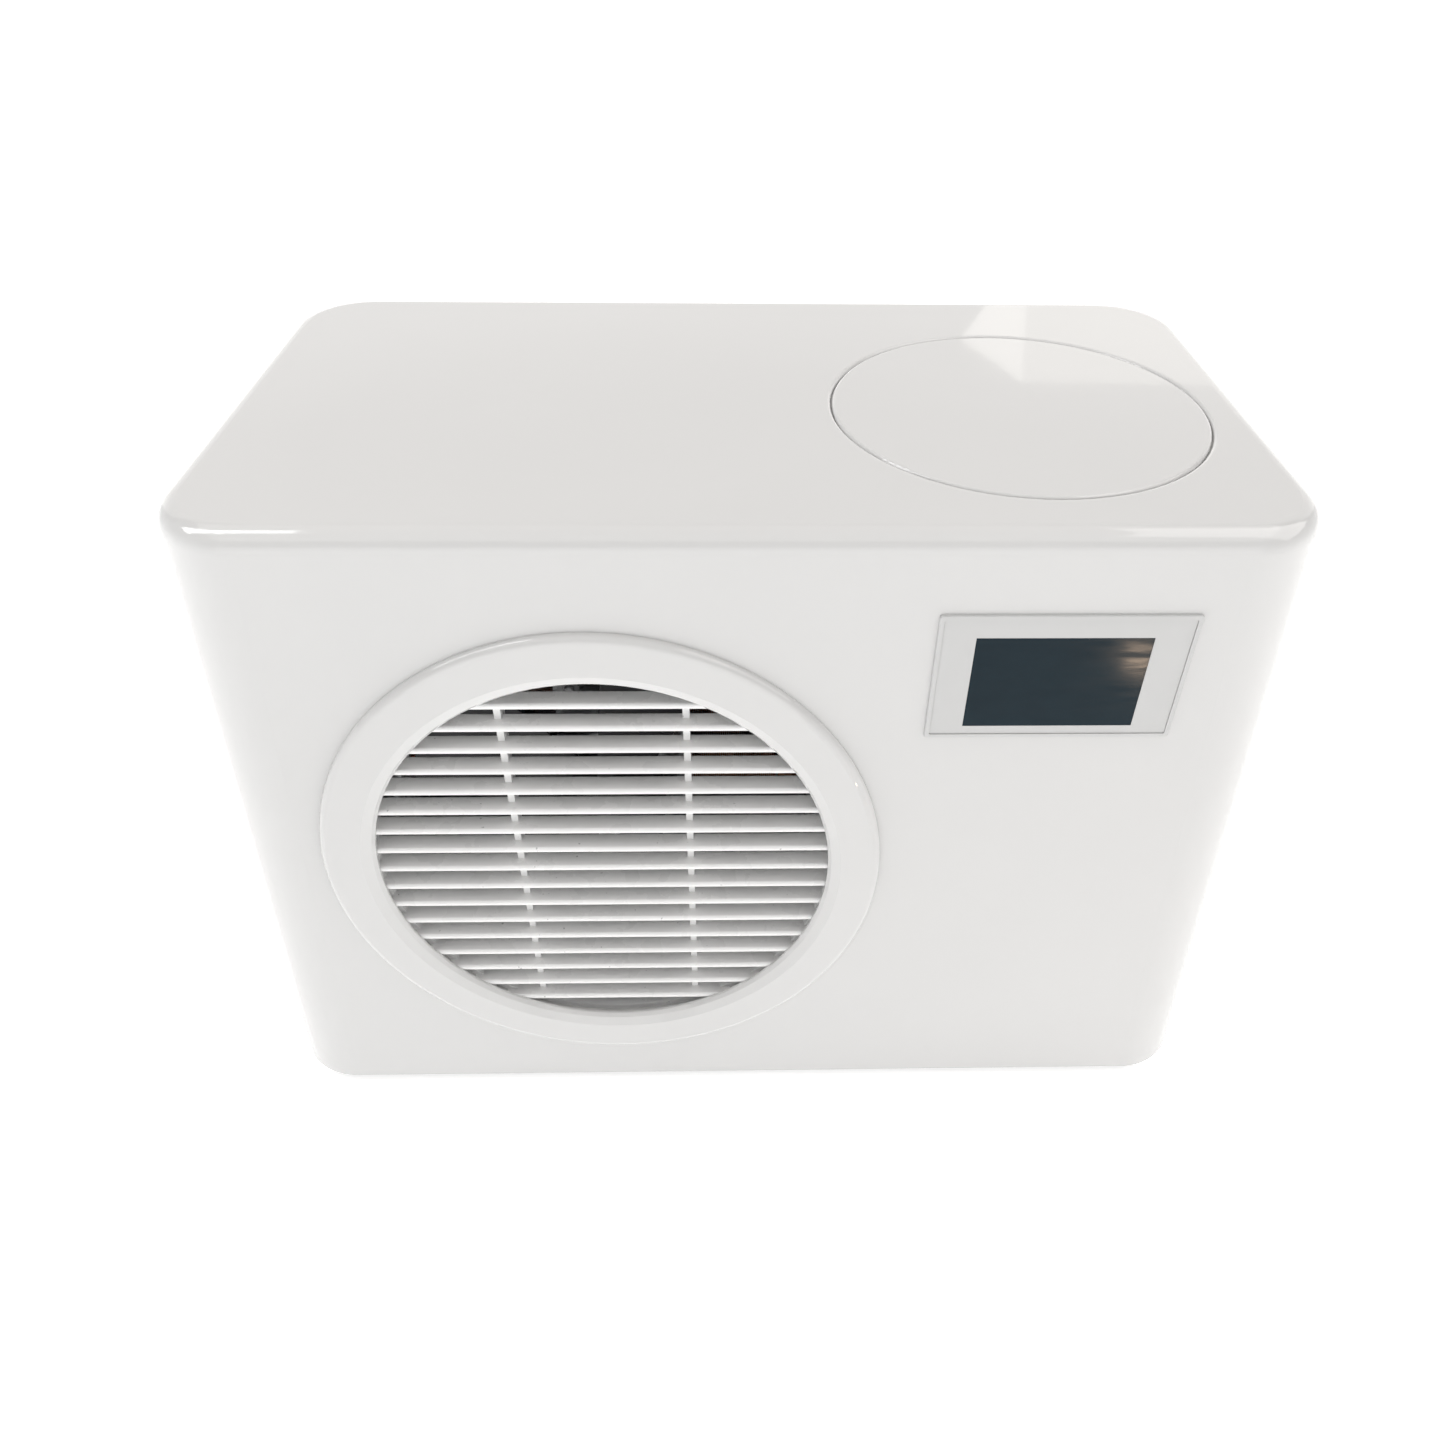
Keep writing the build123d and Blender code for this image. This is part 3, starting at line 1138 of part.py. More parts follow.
IMPELLER_R = 36.0
IMPELLER_VANES = 6
IMPELLER_FRONT_Y = PUMP_FRONT_Y + PUMP_WALL + 6
IMPELLER_DISC = 3.0
IMPELLER_HUB_R = 10.0
VANE = (28.0, 3.0)
VANE_LENGTH = 15.0
VANE_PLACE_R = 20.0
VANE_TURN = 25.0
PUMP_SHAFT_REACH = 60.0
with BuildPart() as pump_impeller:
    with BuildSketch(pump_plane(IMPELLER_FRONT_Y + IMPELLER_DISC)):
        Circle(IMPELLER_R)
    extrude(amount=IMPELLER_DISC)
    with BuildSketch(pump_plane(IMPELLER_FRONT_Y + IMPELLER_DISC + VANE_LENGTH)):
        with PolarLocations(VANE_PLACE_R, IMPELLER_VANES):
            Rectangle(*VANE, rotation=VANE_TURN)
        Circle(IMPELLER_HUB_R)
    extrude(amount=VANE_LENGTH)
    with BuildSketch(pump_plane(IMPELLER_FRONT_Y)):
        Circle(PUMP_SHAFT_R)
    extrude(amount=IMPELLER_FRONT_Y + PUMP_SHAFT_REACH)
save(pump_impeller, "pump_impeller")

with BuildPart() as pump_motor:
    with BuildSketch(pump_plane(PUMP_FRONT_Y)):
        Circle(PUMP_MOTOR_R)
    extrude(amount=PUMP_FRONT_Y - PUMP_MOTOR_END_Y)
    fillet(pump_motor.edges().sort_by(Axis.Y)[0], 6)
    with BuildSketch(Plane.XY.offset(PAN_FLOOR_Z)):
        with Locations((LID_X, sum(PUMP_SADDLE_YS) / 2)):
            Rectangle(PUMP_FOOT[0], PUMP_FOOT[1])
    extrude(amount=PUMP_FOOT[2])
    with BuildSketch(Plane.XY.offset(PAN_FLOOR_Z)):
        with Locations(*[(LID_X, y) for y in PUMP_SADDLE_YS]):
            Rectangle(*PUMP_SADDLE)
    extrude(amount=PORT_Z - PUMP_MOTOR_R - PAN_FLOOR_Z + 10)
    with BuildSketch(pump_plane(PUMP_FRONT_Y)):
        Circle(PUMP_SHAFT_R + RUNNING_GAP)
    extrude(amount=PUMP_FRONT_Y + PUMP_SHAFT_REACH + 20, mode=Mode.SUBTRACT)
save(pump_motor, "pump_motor")

# ---- Heat exchanger: plastic shell round a titanium coil ------------------------------
EXCHANGER_R = 50.0
EXCHANGER_LOW_Z = 150.0
EXCHANGER_HIGH_Z = 380.0
EXCHANGER_WALL = 4.0
GAS_PIPE_Z = 362.0
LIQUID_PIPE_Z = 175.0
PIPE_R = 5.0
HOSE_R = 10.5
HOSE_WALL = 3.0
STUB_LENGTH = 14.0


def exchanger_level(z):
    """Horizontal plane at height z centred on the heat exchanger."""
    return Plane(origin=(EXCHANGER_X, EXCHANGER_Y, z))


with BuildPart() as heat_exchanger_shell:
    with BuildSketch(exchanger_level(EXCHANGER_LOW_Z)):
        Circle(EXCHANGER_R)
    extrude(amount=EXCHANGER_HIGH_Z - EXCHANGER_LOW_Z)
    fillet(heat_exchanger_shell.edges().filter_by(GeomType.CIRCLE), 8)
    with BuildSketch(exchanger_level(EXCHANGER_LOW_Z + EXCHANGER_WALL)):
        Circle(EXCHANGER_R - EXCHANGER_WALL)
    extrude(amount=EXCHANGER_HIGH_Z - EXCHANGER_LOW_Z - 2 * EXCHANGER_WALL, mode=Mode.SUBTRACT)
    for level in (EXCHANGER_LOW_Z - STUB_LENGTH, EXCHANGER_HIGH_Z - EXCHANGER_WALL):
        with BuildSketch(exchanger_level(level)):
            Circle(HOSE_R)
        extrude(amount=STUB_LENGTH + EXCHANGER_WALL)
        with BuildSketch(exchanger_level(level)):
            Circle(HOSE_R - HOSE_WALL)
        extrude(amount=STUB_LENGTH + EXCHANGER_WALL, mode=Mode.SUBTRACT)
    for level in (GAS_PIPE_Z, LIQUID_PIPE_Z):
        with BuildSketch(Plane(origin=(EXCHANGER_X, EXCHANGER_Y, level), z_dir=(1, 0, 0))):
            Circle(PIPE_R)
        extrude(amount=2 * EXCHANGER_R, mode=Mode.SUBTRACT)
save(heat_exchanger_shell, "heat_exchanger_shell")

COIL_TURN_R = 36.0
TURN_PITCH = 17.0
TURNS = 11
COIL_ROD_R = 3.0
exchanger_section = Plane(
    origin=(EXCHANGER_X, EXCHANGER_Y, 0),
    x_dir=(1, 0, 0),
    z_dir=(0, -1, 0),
)
with BuildPart() as titanium_coil:
    for turn in range(TURNS):
        turn_z = LIQUID_PIPE_Z + turn * TURN_PITCH
        with BuildSketch(exchanger_section):
            with Locations((COIL_TURN_R, turn_z)):
                Circle(PIPE_R)
        revolve(axis=Axis((EXCHANGER_X, EXCHANGER_Y, 0), (0, 0, 1)))
    with BuildSketch(exchanger_level(LIQUID_PIPE_Z)):
        with Locations((COIL_TURN_R, 0)):
            Circle(COIL_ROD_R)
    extrude(amount=(TURNS - 1) * TURN_PITCH)
save(titanium_coil, "titanium_coil")

# ---- Compressor with its feet, and the suction accumulator ----------------------------
COMPRESSOR_BASE_Z = 22.0
COMPRESSOR_HIGH_Z = 268.0
ACCUMULATOR_X = 312.0
ACCUMULATOR_Y = 38.0
ACCUMULATOR_R = 23.0
COMPRESSOR_PLANE = Plane(origin=(COMPRESSOR_X, COMPRESSOR_Y, 0))
COMPRESSOR_FOOT_THICK = 4.0
COMPRESSOR_CROWN_R = 24.0
COMPRESSOR_LUG_R = 11.0
COMPRESSOR_MOUNT_R = 10.0
with BuildPart() as compressor:
    with BuildSketch(COMPRESSOR_PLANE.offset(COMPRESSOR_BASE_Z + COMPRESSOR_FOOT_THICK)):
        Circle(COMPRESSOR_R)
    extrude(amount=COMPRESSOR_HIGH_Z - COMPRESSOR_BASE_Z - COMPRESSOR_FOOT_THICK)
    fillet(compressor.edges().group_by(Axis.Z)[-1], COMPRESSOR_CROWN_R)
    with BuildSketch(COMPRESSOR_PLANE.offset(COMPRESSOR_BASE_Z)):
        with PolarLocations(COMPRESSOR_FOOT_R, 3, start_angle=90):
            Circle(COMPRESSOR_LUG_R)
        make_hull()
        with PolarLocations(COMPRESSOR_FOOT_R, 3, start_angle=90):
            Circle(COMPRESSOR_BOLT_R, mode=Mode.SUBTRACT)
    extrude(amount=COMPRESSOR_FOOT_THICK)
save(compressor, "compressor")

with BuildPart() as compressor_mounts:
    with BuildSketch(COMPRESSOR_PLANE.offset(PAN_FLOOR_Z)):
        with PolarLocations(COMPRESSOR_FOOT_R, 3, start_angle=90):
            Circle(COMPRESSOR_MOUNT_R)
            Circle(COMPRESSOR_BOLT_R, mode=Mode.SUBTRACT)
    extrude(amount=COMPRESSOR_BASE_Z - PAN_FLOOR_Z)
save(compressor_mounts, "compressor_mounts")

COMPRESSOR_FOOT_ANGLES = (90, 210, 330)
bolt_reach = Vector(COMPRESSOR_FOOT_R, 0, COMPRESSOR_BASE_Z + COMPRESSOR_FOOT_THICK)
compressor_bolt_planes = [
    Plane(origin=COMPRESSOR_PLANE.from_local_coords(bolt_reach.rotate(Axis.Z, angle)))
    for angle in COMPRESSOR_FOOT_ANGLES
]
compressor_bolts = screw_group(compressor_bolt_planes, 8, 4, COMPRESSOR_BOLT_R - SCREW_FREE, 16)
save(compressor_bolts, "compressor_bolts")

ACCUMULATOR_LOW_Z = 120.0
ACCUMULATOR_HIGH_Z = 250.0
with BuildPart() as accumulator:
    with BuildSketch(Plane(origin=(ACCUMULATOR_X, ACCUMULATOR_Y, ACCUMULATOR_LOW_Z))):
        Circle(ACCUMULATOR_R)
    extrude(amount=ACCUMULATOR_HIGH_Z - ACCUMULATOR_LOW_Z)
    fillet(accumulator.edges().filter_by(GeomType.CIRCLE), 12)
save(accumulator, "accumulator")

# ---- Reversing valve, expansion valve and copper pipes --------------------------------
VALVE_Z = 330.0
VALVE_R = 12.0
VALVE_LENGTH = 76.0
VALVE_STUB_SPACING = 23.0
valve_end = Plane(
    origin=(COMPRESSOR_X - VALVE_LENGTH / 2, COMPRESSOR_Y, VALVE_Z),
    z_dir=(1, 0, 0),
)
PILOT_R = 9.0
PILOT_SINK = 3.0
PILOT_LENGTH = 24.0
with BuildPart() as reversing_valve:
    with BuildSketch(valve_end):
        Circle(VALVE_R)
    extrude(amount=VALVE_LENGTH)
    fillet(reversing_valve.edges().filter_by(GeomType.CIRCLE), 4)
    pilot_y = COMPRESSOR_Y - VALVE_R + PILOT_SINK
    with BuildSketch(Plane(origin=(COMPRESSOR_X, pilot_y, VALVE_Z), z_dir=(0, -1, 0))):
        Circle(PILOT_R)
    extrude(amount=PILOT_LENGTH)
save(reversing_valve, "reversing_valve")

VALVE_TOP_Z = VALVE_Z + VALVE_R
SUCTION_LOOP_Z = VALVE_TOP_Z + 46.0
GAS_RUN_Z = 410.0
GAS_RUN_Y = hairpin_columns[1]
GAS_DROP_X = 58.0
discharge_route = [
    (COMPRESSOR_X, COMPRESSOR_Y, COMPRESSOR_HIGH_Z),
    (COMPRESSOR_X, COMPRESSOR_Y, VALVE_Z - VALVE_R),
]
exchanger_gas_route = [
    (COMPRESSOR_X - VALVE_STUB_SPACING, COMPRESSOR_Y, VALVE_TOP_Z),
    (COMPRESSOR_X - VALVE_STUB_SPACING, COMPRESSOR_Y, GAS_PIPE_Z),
    (EXCHANGER_X + EXCHANGER_R - EXCHANGER_WALL, COMPRESSOR_Y, GAS_PIPE_Z),
]
coil_gas_route = [
    (COMPRESSOR_X + VALVE_STUB_SPACING, COMPRESSOR_Y, VALVE_TOP_Z),
    (COMPRESSOR_X + VALVE_STUB_SPACING, COMPRESSOR_Y, GAS_RUN_Z),
    (COMPRESSOR_X + VALVE_STUB_SPACING - 25, GAS_RUN_Y, GAS_RUN_Z),
    (GAS_DROP_X, GAS_RUN_Y, GAS_RUN_Z),
    (GAS_DROP_X, GAS_RUN_Y, tube_levels[-1]),
    (tube_start_x, GAS_RUN_Y, tube_levels[-1]),
]
suction_route = [
    (COMPRESSOR_X, COMPRESSOR_Y, VALVE_TOP_Z),
    (COMPRESSOR_X, COMPRESSOR_Y, SUCTION_LOOP_Z),
    (ACCUMULATOR_X, ACCUMULATOR_Y, SUCTION_LOOP_Z),
    (ACCUMULATOR_X, ACCUMULATOR_Y, ACCUMULATOR_HIGH_Z),
]
SUCTION_R = 6.0

EXPANSION_X = 140.0
EXPANSION_HALF = 18.0
EXPANSION_HEX_R = 9.0
EXPANSION_HEAD_R = 7.0
EXPANSION_HEAD_HIGH = 22.0
LIQUID_RISE_X = 206.0
with BuildPart() as expansion_valve:
    with BuildSketch(Plane(origin=(EXPANSION_X - EXPANSION_HALF, LIQUID_Y, LIQUID_Z), z_dir=(1, 0, 0))):
        RegularPolygon(EXPANSION_HEX_R, 6)
    extrude(amount=2 * EXPANSION_HALF)
    with BuildSketch(Plane(origin=(EXPANSION_X, LIQUID_Y, LIQUID_Z))):
        Circle(EXPANSION_HEAD_R)
    extrude(amount=EXPANSION_HEAD_HIGH)
save(expansion_valve, "expansion_valve")

coil_liquid_route = [
    (tube_start_x, hairpin_columns[0], tube_levels[0]),
    (GAS_DROP_X, hairpin_columns[0], tube_levels[0]),
    (GAS_DROP_X + 8, LIQUID_Y, LIQUID_Z),
    (EXPANSION_X - EXPANSION_HALF, LIQUID_Y, LIQUID_Z),
]
exchanger_liquid_route = [
    (EXPANSION_X + EXPANSION_HALF, LIQUID_Y, LIQUID_Z),
    (LIQUID_RISE_X, LIQUID_Y, LIQUID_Z),
    (LIQUID_RISE_X, LIQUID_Y, LIQUID_PIPE_Z),
    (EXCHANGER_X + EXCHANGER_R - EXCHANGER_WALL, LIQUID_Y, LIQUID_PIPE_Z),
]
refrigerant_pipes = pipes(
    [
        (discharge_route, 0, PIPE_R),
        (exchanger_gas_route, 12, PIPE_R),
        (coil_gas_route, [12, 12, 12, 8], TUBE_R),
        (suction_route, 20, SUCTION_R),
        (coil_liquid_route, 6, TUBE_R),
        (exchanger_liquid_route, 14, TUBE_R),
    ]
)
save(refrigerant_pipes, "refrigerant_pipes")

# ---- Water hoses ----------------------------------------------------------------------
CANISTER_STUB_Z = 412.0
HOSE_FREE = 1.3
inlet_hose_route = [
    (LID_X, PORT_TAIL_Y - HOSE_FREE, PORT_LEVEL),
    (LID_X, PUMP_INLET_END_Y + HOSE_FREE, PORT_Z),
]
filter_hose_route = [
    (LID_X, LID_Y + CANISTER_R, CANISTER_STUB_Z),
    (LID_X, EXCHANGER_Y, CANISTER_STUB_Z),
    (EXCHANGER_X, EXCHANGER_Y, CANISTER_STUB_Z),
    (EXCHANGER_X, EXCHANGER_Y, EXCHANGER_HIGH_Z + 14),
]
outlet_hose_route = [
    (EXCHANGER_X, EXCHANGER_Y, EXCHANGER_LOW_Z - 14),
    (EXCHANGER_X, EXCHANGER_Y, PORT_LEVEL),
    (EXCHANGER_X, PORT_TAIL_Y - HOSE_FREE, PORT_LEVEL),
]
water_hoses = pipes(
    [
        (inlet_hose_route, 0, HOSE_R),
        (filter_hose_route, [24, 16], HOSE_R),
        (outlet_hose_route, 26, HOSE_R),
    ]
)
save(water_hoses, "water_hoses")

# ---- Control box on the rails, its cover, board and capacitor -------------------------
BOX_LEFT_X = -300.0
BOX_RIGHT_X = 30.0
BOX_FRONT_Y = -110.0
BOX_BACK_Y = 96.0
BOX_LOW_Z = RAIL_TOP_Z
BOX_HIGH_Z = 482.0
BOX_CORNER_R = 5.0
BOX_MID = ((BOX_LEFT_X + BOX_RIGHT_X) / 2, (BOX_FRONT_Y + BOX_BACK_Y) / 2)
BOX_W = BOX_RIGHT_X - BOX_LEFT_X
BOX_D = BOX_BACK_Y - BOX_FRONT_Y
with BuildPart() as control_box:
    with BuildSketch(Plane.XY.offset(BOX_LOW_Z)):
        with Locations(BOX_MID):
            RectangleRounded(BOX_W, BOX_D, BOX_CORNER_R)
    extrude(amount=BOX_HIGH_Z - BOX_LOW_Z)
    with BuildSketch(Plane.XY.offset(BOX_LOW_Z + SHEET)):
        with Locations(BOX_MID):
            RectangleRounded(BOX_W - 2 * SHEET, BOX_D - 2 * SHEET, BOX_CORNER_R - SHEET)
    extrude(amount=BOX_HIGH_Z, mode=Mode.SUBTRACT)
save(control_box, "control_box")

with BuildPart() as control_box_cover:
    with BuildSketch(Plane.XY.offset(BOX_HIGH_Z)):
        with Locations(BOX_MID):
            RectangleRounded(BOX_W, BOX_D, BOX_CORNER_R)
    extrude(amount=SHEET)
save(control_box_cover, "control_box_cover")

BOARD_RAISE = 6.0
BOARD_SIZE = (200.0, 150.0)
BOARD_MID = (BOX_MID[0] + 30, BOX_MID[1])
BOARD_FLOOR_Z = BOX_LOW_Z + SHEET
PILLAR_R = 3.0
CONTROL_BLOCKS = {(65, 45): (45, 38), (-50, 30): (30, 15), (20, -50): (90, 12)}
BLOCK_HEIGHT = 20.0
with BuildPart() as control_board:
    with BuildSketch(Plane.XY.offset(BOARD_FLOOR_Z + BOARD_RAISE)):
        with Locations(BOARD_MID):
            Rectangle(*BOARD_SIZE)
    extrude(amount=BOARD_THICK)
    with BuildSketch(Plane.XY.offset(BOARD_FLOOR_Z)):
        with Locations(BOARD_MID):
            with GridLocations(BOARD_SIZE[0] - 4 * PILLAR_R, BOARD_SIZE[1] - 4 * PILLAR_R, 2, 2):
                Circle(PILLAR_R)
    extrude(amount=BOARD_RAISE)
    with BuildSketch(Plane.XY.offset(BOARD_FLOOR_Z + BOARD_RAISE + BOARD_THICK)):
        for block_place, block_size in CONTROL_BLOCKS.items():
            with Locations((BOARD_MID[0] + block_place[0], BOARD_MID[1] + block_place[1])):
                Rectangle(*block_size)
    extrude(amount=BLOCK_HEIGHT)
save(control_board, "control_board")

CAPACITOR_R = 19.0
CAPACITOR_LENGTH = 90.0
capacitor_end = Plane(
    origin=(BOX_MID[0] - 120, BOX_MID[1] - 50, BOARD_FLOOR_Z + CAPACITOR_R),
    z_dir=(0, 1, 0),
)
with BuildPart() as run_capacitor:
    with BuildSketch(capacitor_end):
        Circle(CAPACITOR_R)
    extrude(amount=CAPACITOR_LENGTH)
save(run_capacitor, "run_capacitor")

# ---- Ribbon lead from the display board to the control box ----------------------------
DISPLAY_BACK = BOARD_FACE.offset(-BOARD_THICK)
LEAD_R = 2.5
LEAD_END_Y = -70.0
LEAD_END_Z = BOX_LOW_Z + 18.0
lead_route = [
    DISPLAY_BACK.from_local_coords((-50, 10, 0)),
    DISPLAY_BACK.from_local_coords((-50, 10, -24)),
    (BULKHEAD_X + 30, LEAD_END_Y - 70, LEAD_END_Z - 20),
    (BULKHEAD_X, LEAD_END_Y, LEAD_END_Z),
    (BOX_RIGHT_X, LEAD_END_Y, LEAD_END_Z),
]
screen_lead = pipes([(lead_route, [12, 24, 16], LEAD_R)])
save(screen_lead, "screen_lead")
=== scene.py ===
import json
import math

import bmesh
import bpy
from mathutils import Matrix, Vector


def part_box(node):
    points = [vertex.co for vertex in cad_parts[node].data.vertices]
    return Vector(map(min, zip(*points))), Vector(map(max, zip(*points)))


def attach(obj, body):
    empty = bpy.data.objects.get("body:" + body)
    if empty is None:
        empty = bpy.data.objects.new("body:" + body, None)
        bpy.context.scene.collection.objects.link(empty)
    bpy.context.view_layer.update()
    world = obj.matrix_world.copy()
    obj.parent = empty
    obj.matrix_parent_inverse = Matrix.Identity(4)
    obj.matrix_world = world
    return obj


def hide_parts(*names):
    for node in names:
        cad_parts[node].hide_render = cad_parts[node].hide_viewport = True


# The looks of a plug-in water heat pump in a gloss white casing. Metres, in the CAD frame.

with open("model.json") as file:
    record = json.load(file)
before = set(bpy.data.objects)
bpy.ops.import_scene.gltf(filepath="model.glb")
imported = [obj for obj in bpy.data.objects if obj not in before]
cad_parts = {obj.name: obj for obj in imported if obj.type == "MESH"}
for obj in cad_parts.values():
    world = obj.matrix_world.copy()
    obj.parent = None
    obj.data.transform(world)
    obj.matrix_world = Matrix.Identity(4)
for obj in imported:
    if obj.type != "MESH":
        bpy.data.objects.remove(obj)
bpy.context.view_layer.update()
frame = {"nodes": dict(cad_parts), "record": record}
nodes = frame["nodes"]
scene = bpy.context.scene
MM = 0.001

# ---- Camera -----------------------------------------------------------------------------
CAMERA_PLACE = Vector((-0.0128, -0.7193, 0.8053))
CAMERA_YAW = 0.03352
CAMERA_PITCH = 0.74472
CAMERA_ROLL = -0.01746
CAMERA_LENS = 26.73
CAMERA_SHIFT = (-0.0206, 0.0386)
SENSOR = 36.0
CAMERA_CLIP = (0.01, 60.0)

# ---- Studio -----------------------------------------------------------------------------
NEUTRAL = (1.0, 1.0, 1.0)
WARM = (1.0, 0.972, 0.95)
FLOOR_HALF = 20.0
FLOOR_COLOUR = (0.93, 0.93, 0.93)
FLOOR_ROUGHNESS = 0.9
FLOOR_SPECULAR = 0.1
# The floor's glow, near the unit and far off, and the distances it changes between.
FLOOR_GLOW = 0.55
FLOOR_GLOW_FAR = 1.1
FLOOR_GLOW_START = 1.0
FLOOR_GLOW_END = 4.5
# name, place, width and height, power, colour
SOFTBOXES = [
    ("back_softbox", (0.0, 3.2, 1.7), (9.0, 3.0), 50.0, WARM),
    ("left_softbox", (-2.8, -0.3, 1.3), (3.0, 2.4), 4.0, NEUTRAL),
    ("left_strip", (-1.8, 0.0, 2.4), (0.7, 1.6), 19.0, NEUTRAL),
    ("front_softbox", (0.0, -3.2, 0.9), (5.0, 1.5), 17.0, NEUTRAL),
    ("top_softbox", (0.0, 0.0, 3.2), (5.0, 5.0), 70.0, WARM),
    ("top_right_softbox", (2.2, 0.0, 2.6), (2.4, 2.4), 31.0, WARM),
]
LIGHT_TARGET = (0.0, 0.0, 0.25)
# The world glows at the horizon and fades upwards until a direction climbs this steeply.
HORIZON_GLOW = 1.05
HORIZON_TOP = 0.4
ZENITH_GLOW = 0.12
# A small lamp low in front on the right, whose glow shows in the screen's corner.
SCREEN_LAMP_PLACE = (0.493, -0.77, 0.102)
SCREEN_LAMP_SIZE = 0.034
SCREEN_LAMP_POWER = 0.075
SCREEN_LAMP_COLOUR = (1.0, 0.72, 0.5)
# The window behind the unit: a wide pane and its brighter left part, as (x, z) outlines at WINDOW_Y.
WINDOW_Y = 2.5
WINDOW_PANE = [(0.90, 1.52), (1.75, 1.53), (1.75, 0.95), (0.83, 0.95), (0.87, 1.28)]
WINDOW_BRIGHT = [
    (0.90, 1.52), (0.87, 1.28), (0.83, 0.95), (0.76, 0.95), (0.76, 1.28), (0.69, 1.39),
]
WINDOW_PANE_GLOW = 1.2
WINDOW_BRIGHT_GLOW = 1.5
WINDOW_COLOUR = (1.0, 0.975, 0.94)


def box_centre(node):
    """The middle of a CAD node's box."""
    low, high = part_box(node)
    return (low + high) / 2


def make_camera():
    """The camera: a little left of centre, turned slightly right, looking down at the front."""
    forward = Vector((
        math.sin(CAMERA_YAW) * math.cos(CAMERA_PITCH),
        math.cos(CAMERA_YAW) * math.cos(CAMERA_PITCH),
        -math.sin(CAMERA_PITCH),
    ))
    level = Vector((math.cos(CAMERA_YAW), -math.sin(CAMERA_YAW), 0))
    down = forward.cross(level)
    right = math.cos(CAMERA_ROLL) * level + math.sin(CAMERA_ROLL) * down
    down = math.cos(CAMERA_ROLL) * down - math.sin(CAMERA_ROLL) * level
    turn = Matrix((right, -down, -forward)).transposed()
    data = bpy.data.cameras.new("camera")
    data.sensor_width = SENSOR
    data.lens = CAMERA_LENS
    data.shift_x, data.shift_y = CAMERA_SHIFT
    data.clip_start, data.clip_end = CAMERA_CLIP
    camera = bpy.data.objects.new("camera", data)
    camera.matrix_world = Matrix.Translation(CAMERA_PLACE) @ turn.to_4x4()
    scene.collection.objects.link(camera)
    scene.camera = camera


def area_light(name, place, target, size, power, colour):
    """A soft rectangular light at a place, turned to face a target."""
    data = bpy.data.lights.new(name, "AREA")
    data.shape = "RECTANGLE"
    data.size, data.size_y = size
    data.energy = power
    data.color = colour
    light = bpy.data.objects.new(name, data)
    light.location = place
    light.rotation_mode = "QUATERNION"
    light.rotation_quaternion = (Vector(target) - Vector(place)).to_track_quat("-Z", "Y")
    light.visible_camera = False
    scene.collection.objects.link(light)


def window_card(name, outline, glow):
    """A glowing pane standing behind the unit, there for its reflection in the gloss top."""
    mesh = bpy.data.meshes.new(name)
    corners = [(x, WINDOW_Y, z) for x, z in outline]
    mesh.from_pydata(corners, [], [tuple(range(len(corners)))])
    card = bpy.data.objects.new(name, mesh)
    scene.collection.objects.link(card)
    material = bpy.data.materials.new(name)
    material.use_nodes = True
    shader = material.node_tree.nodes["Principled BSDF"]
    shader.inputs["Base Color"].default_value = (0, 0, 0, 1)
    shader.inputs["Roughness"].default_value = 1.0
    shader.inputs["Emission Color"].default_value = (*WINDOW_COLOUR, 1)
    shader.inputs["Emission Strength"].default_value = glow
    mesh.materials.append(material)


def make_floor():
    """A wide pale floor whose far reaches glow enough to leave no horizon."""
    mesh = bpy.data.meshes.new("floor")
    near, far = -FLOOR_HALF, FLOOR_HALF
    corners = [(near, near, 0), (far, near, 0), (far, far, 0), (near, far, 0)]
    mesh.from_pydata(corners, [], [(0, 1, 2, 3)])
    floor = bpy.data.objects.new("floor", mesh)
    scene.collection.objects.link(floor)
    surface = Surface("floor")
    away = surface.add("ShaderNodeVectorMath", operation="LENGTH")
    surface.link(surface.coordinates, away.inputs[0])
    glow = surface.span(
        away.outputs["Value"], FLOOR_GLOW, FLOOR_GLOW_FAR, FLOOR_GLOW_START, FLOOR_GLOW_END
    )
    surface.link(glow, surface.shader.inputs["Emission Strength"])
    surface.value("Base Color", (*FLOOR_COLOUR, 1))
    surface.value("Emission Color", (*NEUTRAL, 1))
    surface.value("Roughness", FLOOR_ROUGHNESS)
    surface.value("Specular IOR Level", FLOOR_SPECULAR)
    mesh.materials.append(surface.material)


def make_studio():
    """Pale floor and sky, soft lights, a window behind and a small lamp beside the camera."""
    world = bpy.data.worlds.new("studio")
    world.use_nodes = True
    tree = world.node_tree
    background = tree.nodes["Background"]
    background.inputs["Color"].default_value = (*NEUTRAL, 1)
    direction = tree.nodes.new("ShaderNodeTexCoord")
    split = tree.nodes.new("ShaderNodeSeparateXYZ")
    fall = tree.nodes.new("ShaderNodeMapRange")
    fall.inputs["From Max"].default_value = HORIZON_TOP
    fall.inputs["To Min"].default_value = HORIZON_GLOW
    fall.inputs["To Max"].default_value = ZENITH_GLOW
    tree.links.new(direction.outputs["Generated"], split.inputs["Vector"])
    tree.links.new(split.outputs["Z"], fall.inputs["Value"])
    tree.links.new(fall.outputs["Result"], background.inputs["Strength"])
    scene.world = world
    scene.view_settings.view_transform = "Standard"
    make_floor()
    for name, place, size, power, colour in SOFTBOXES:
        area_light(name, place, LIGHT_TARGET, size, power, colour)
    lamp_size = (SCREEN_LAMP_SIZE, SCREEN_LAMP_SIZE)
    area_light("screen_lamp", SCREEN_LAMP_PLACE, box_centre("screen_glass"), lamp_size,
               SCREEN_LAMP_POWER, SCREEN_LAMP_COLOUR)
    window_card("window_pane", WINDOW_PANE, WINDOW_PANE_GLOW)
    window_card("window_bright", WINDOW_BRIGHT, WINDOW_BRIGHT_GLOW)


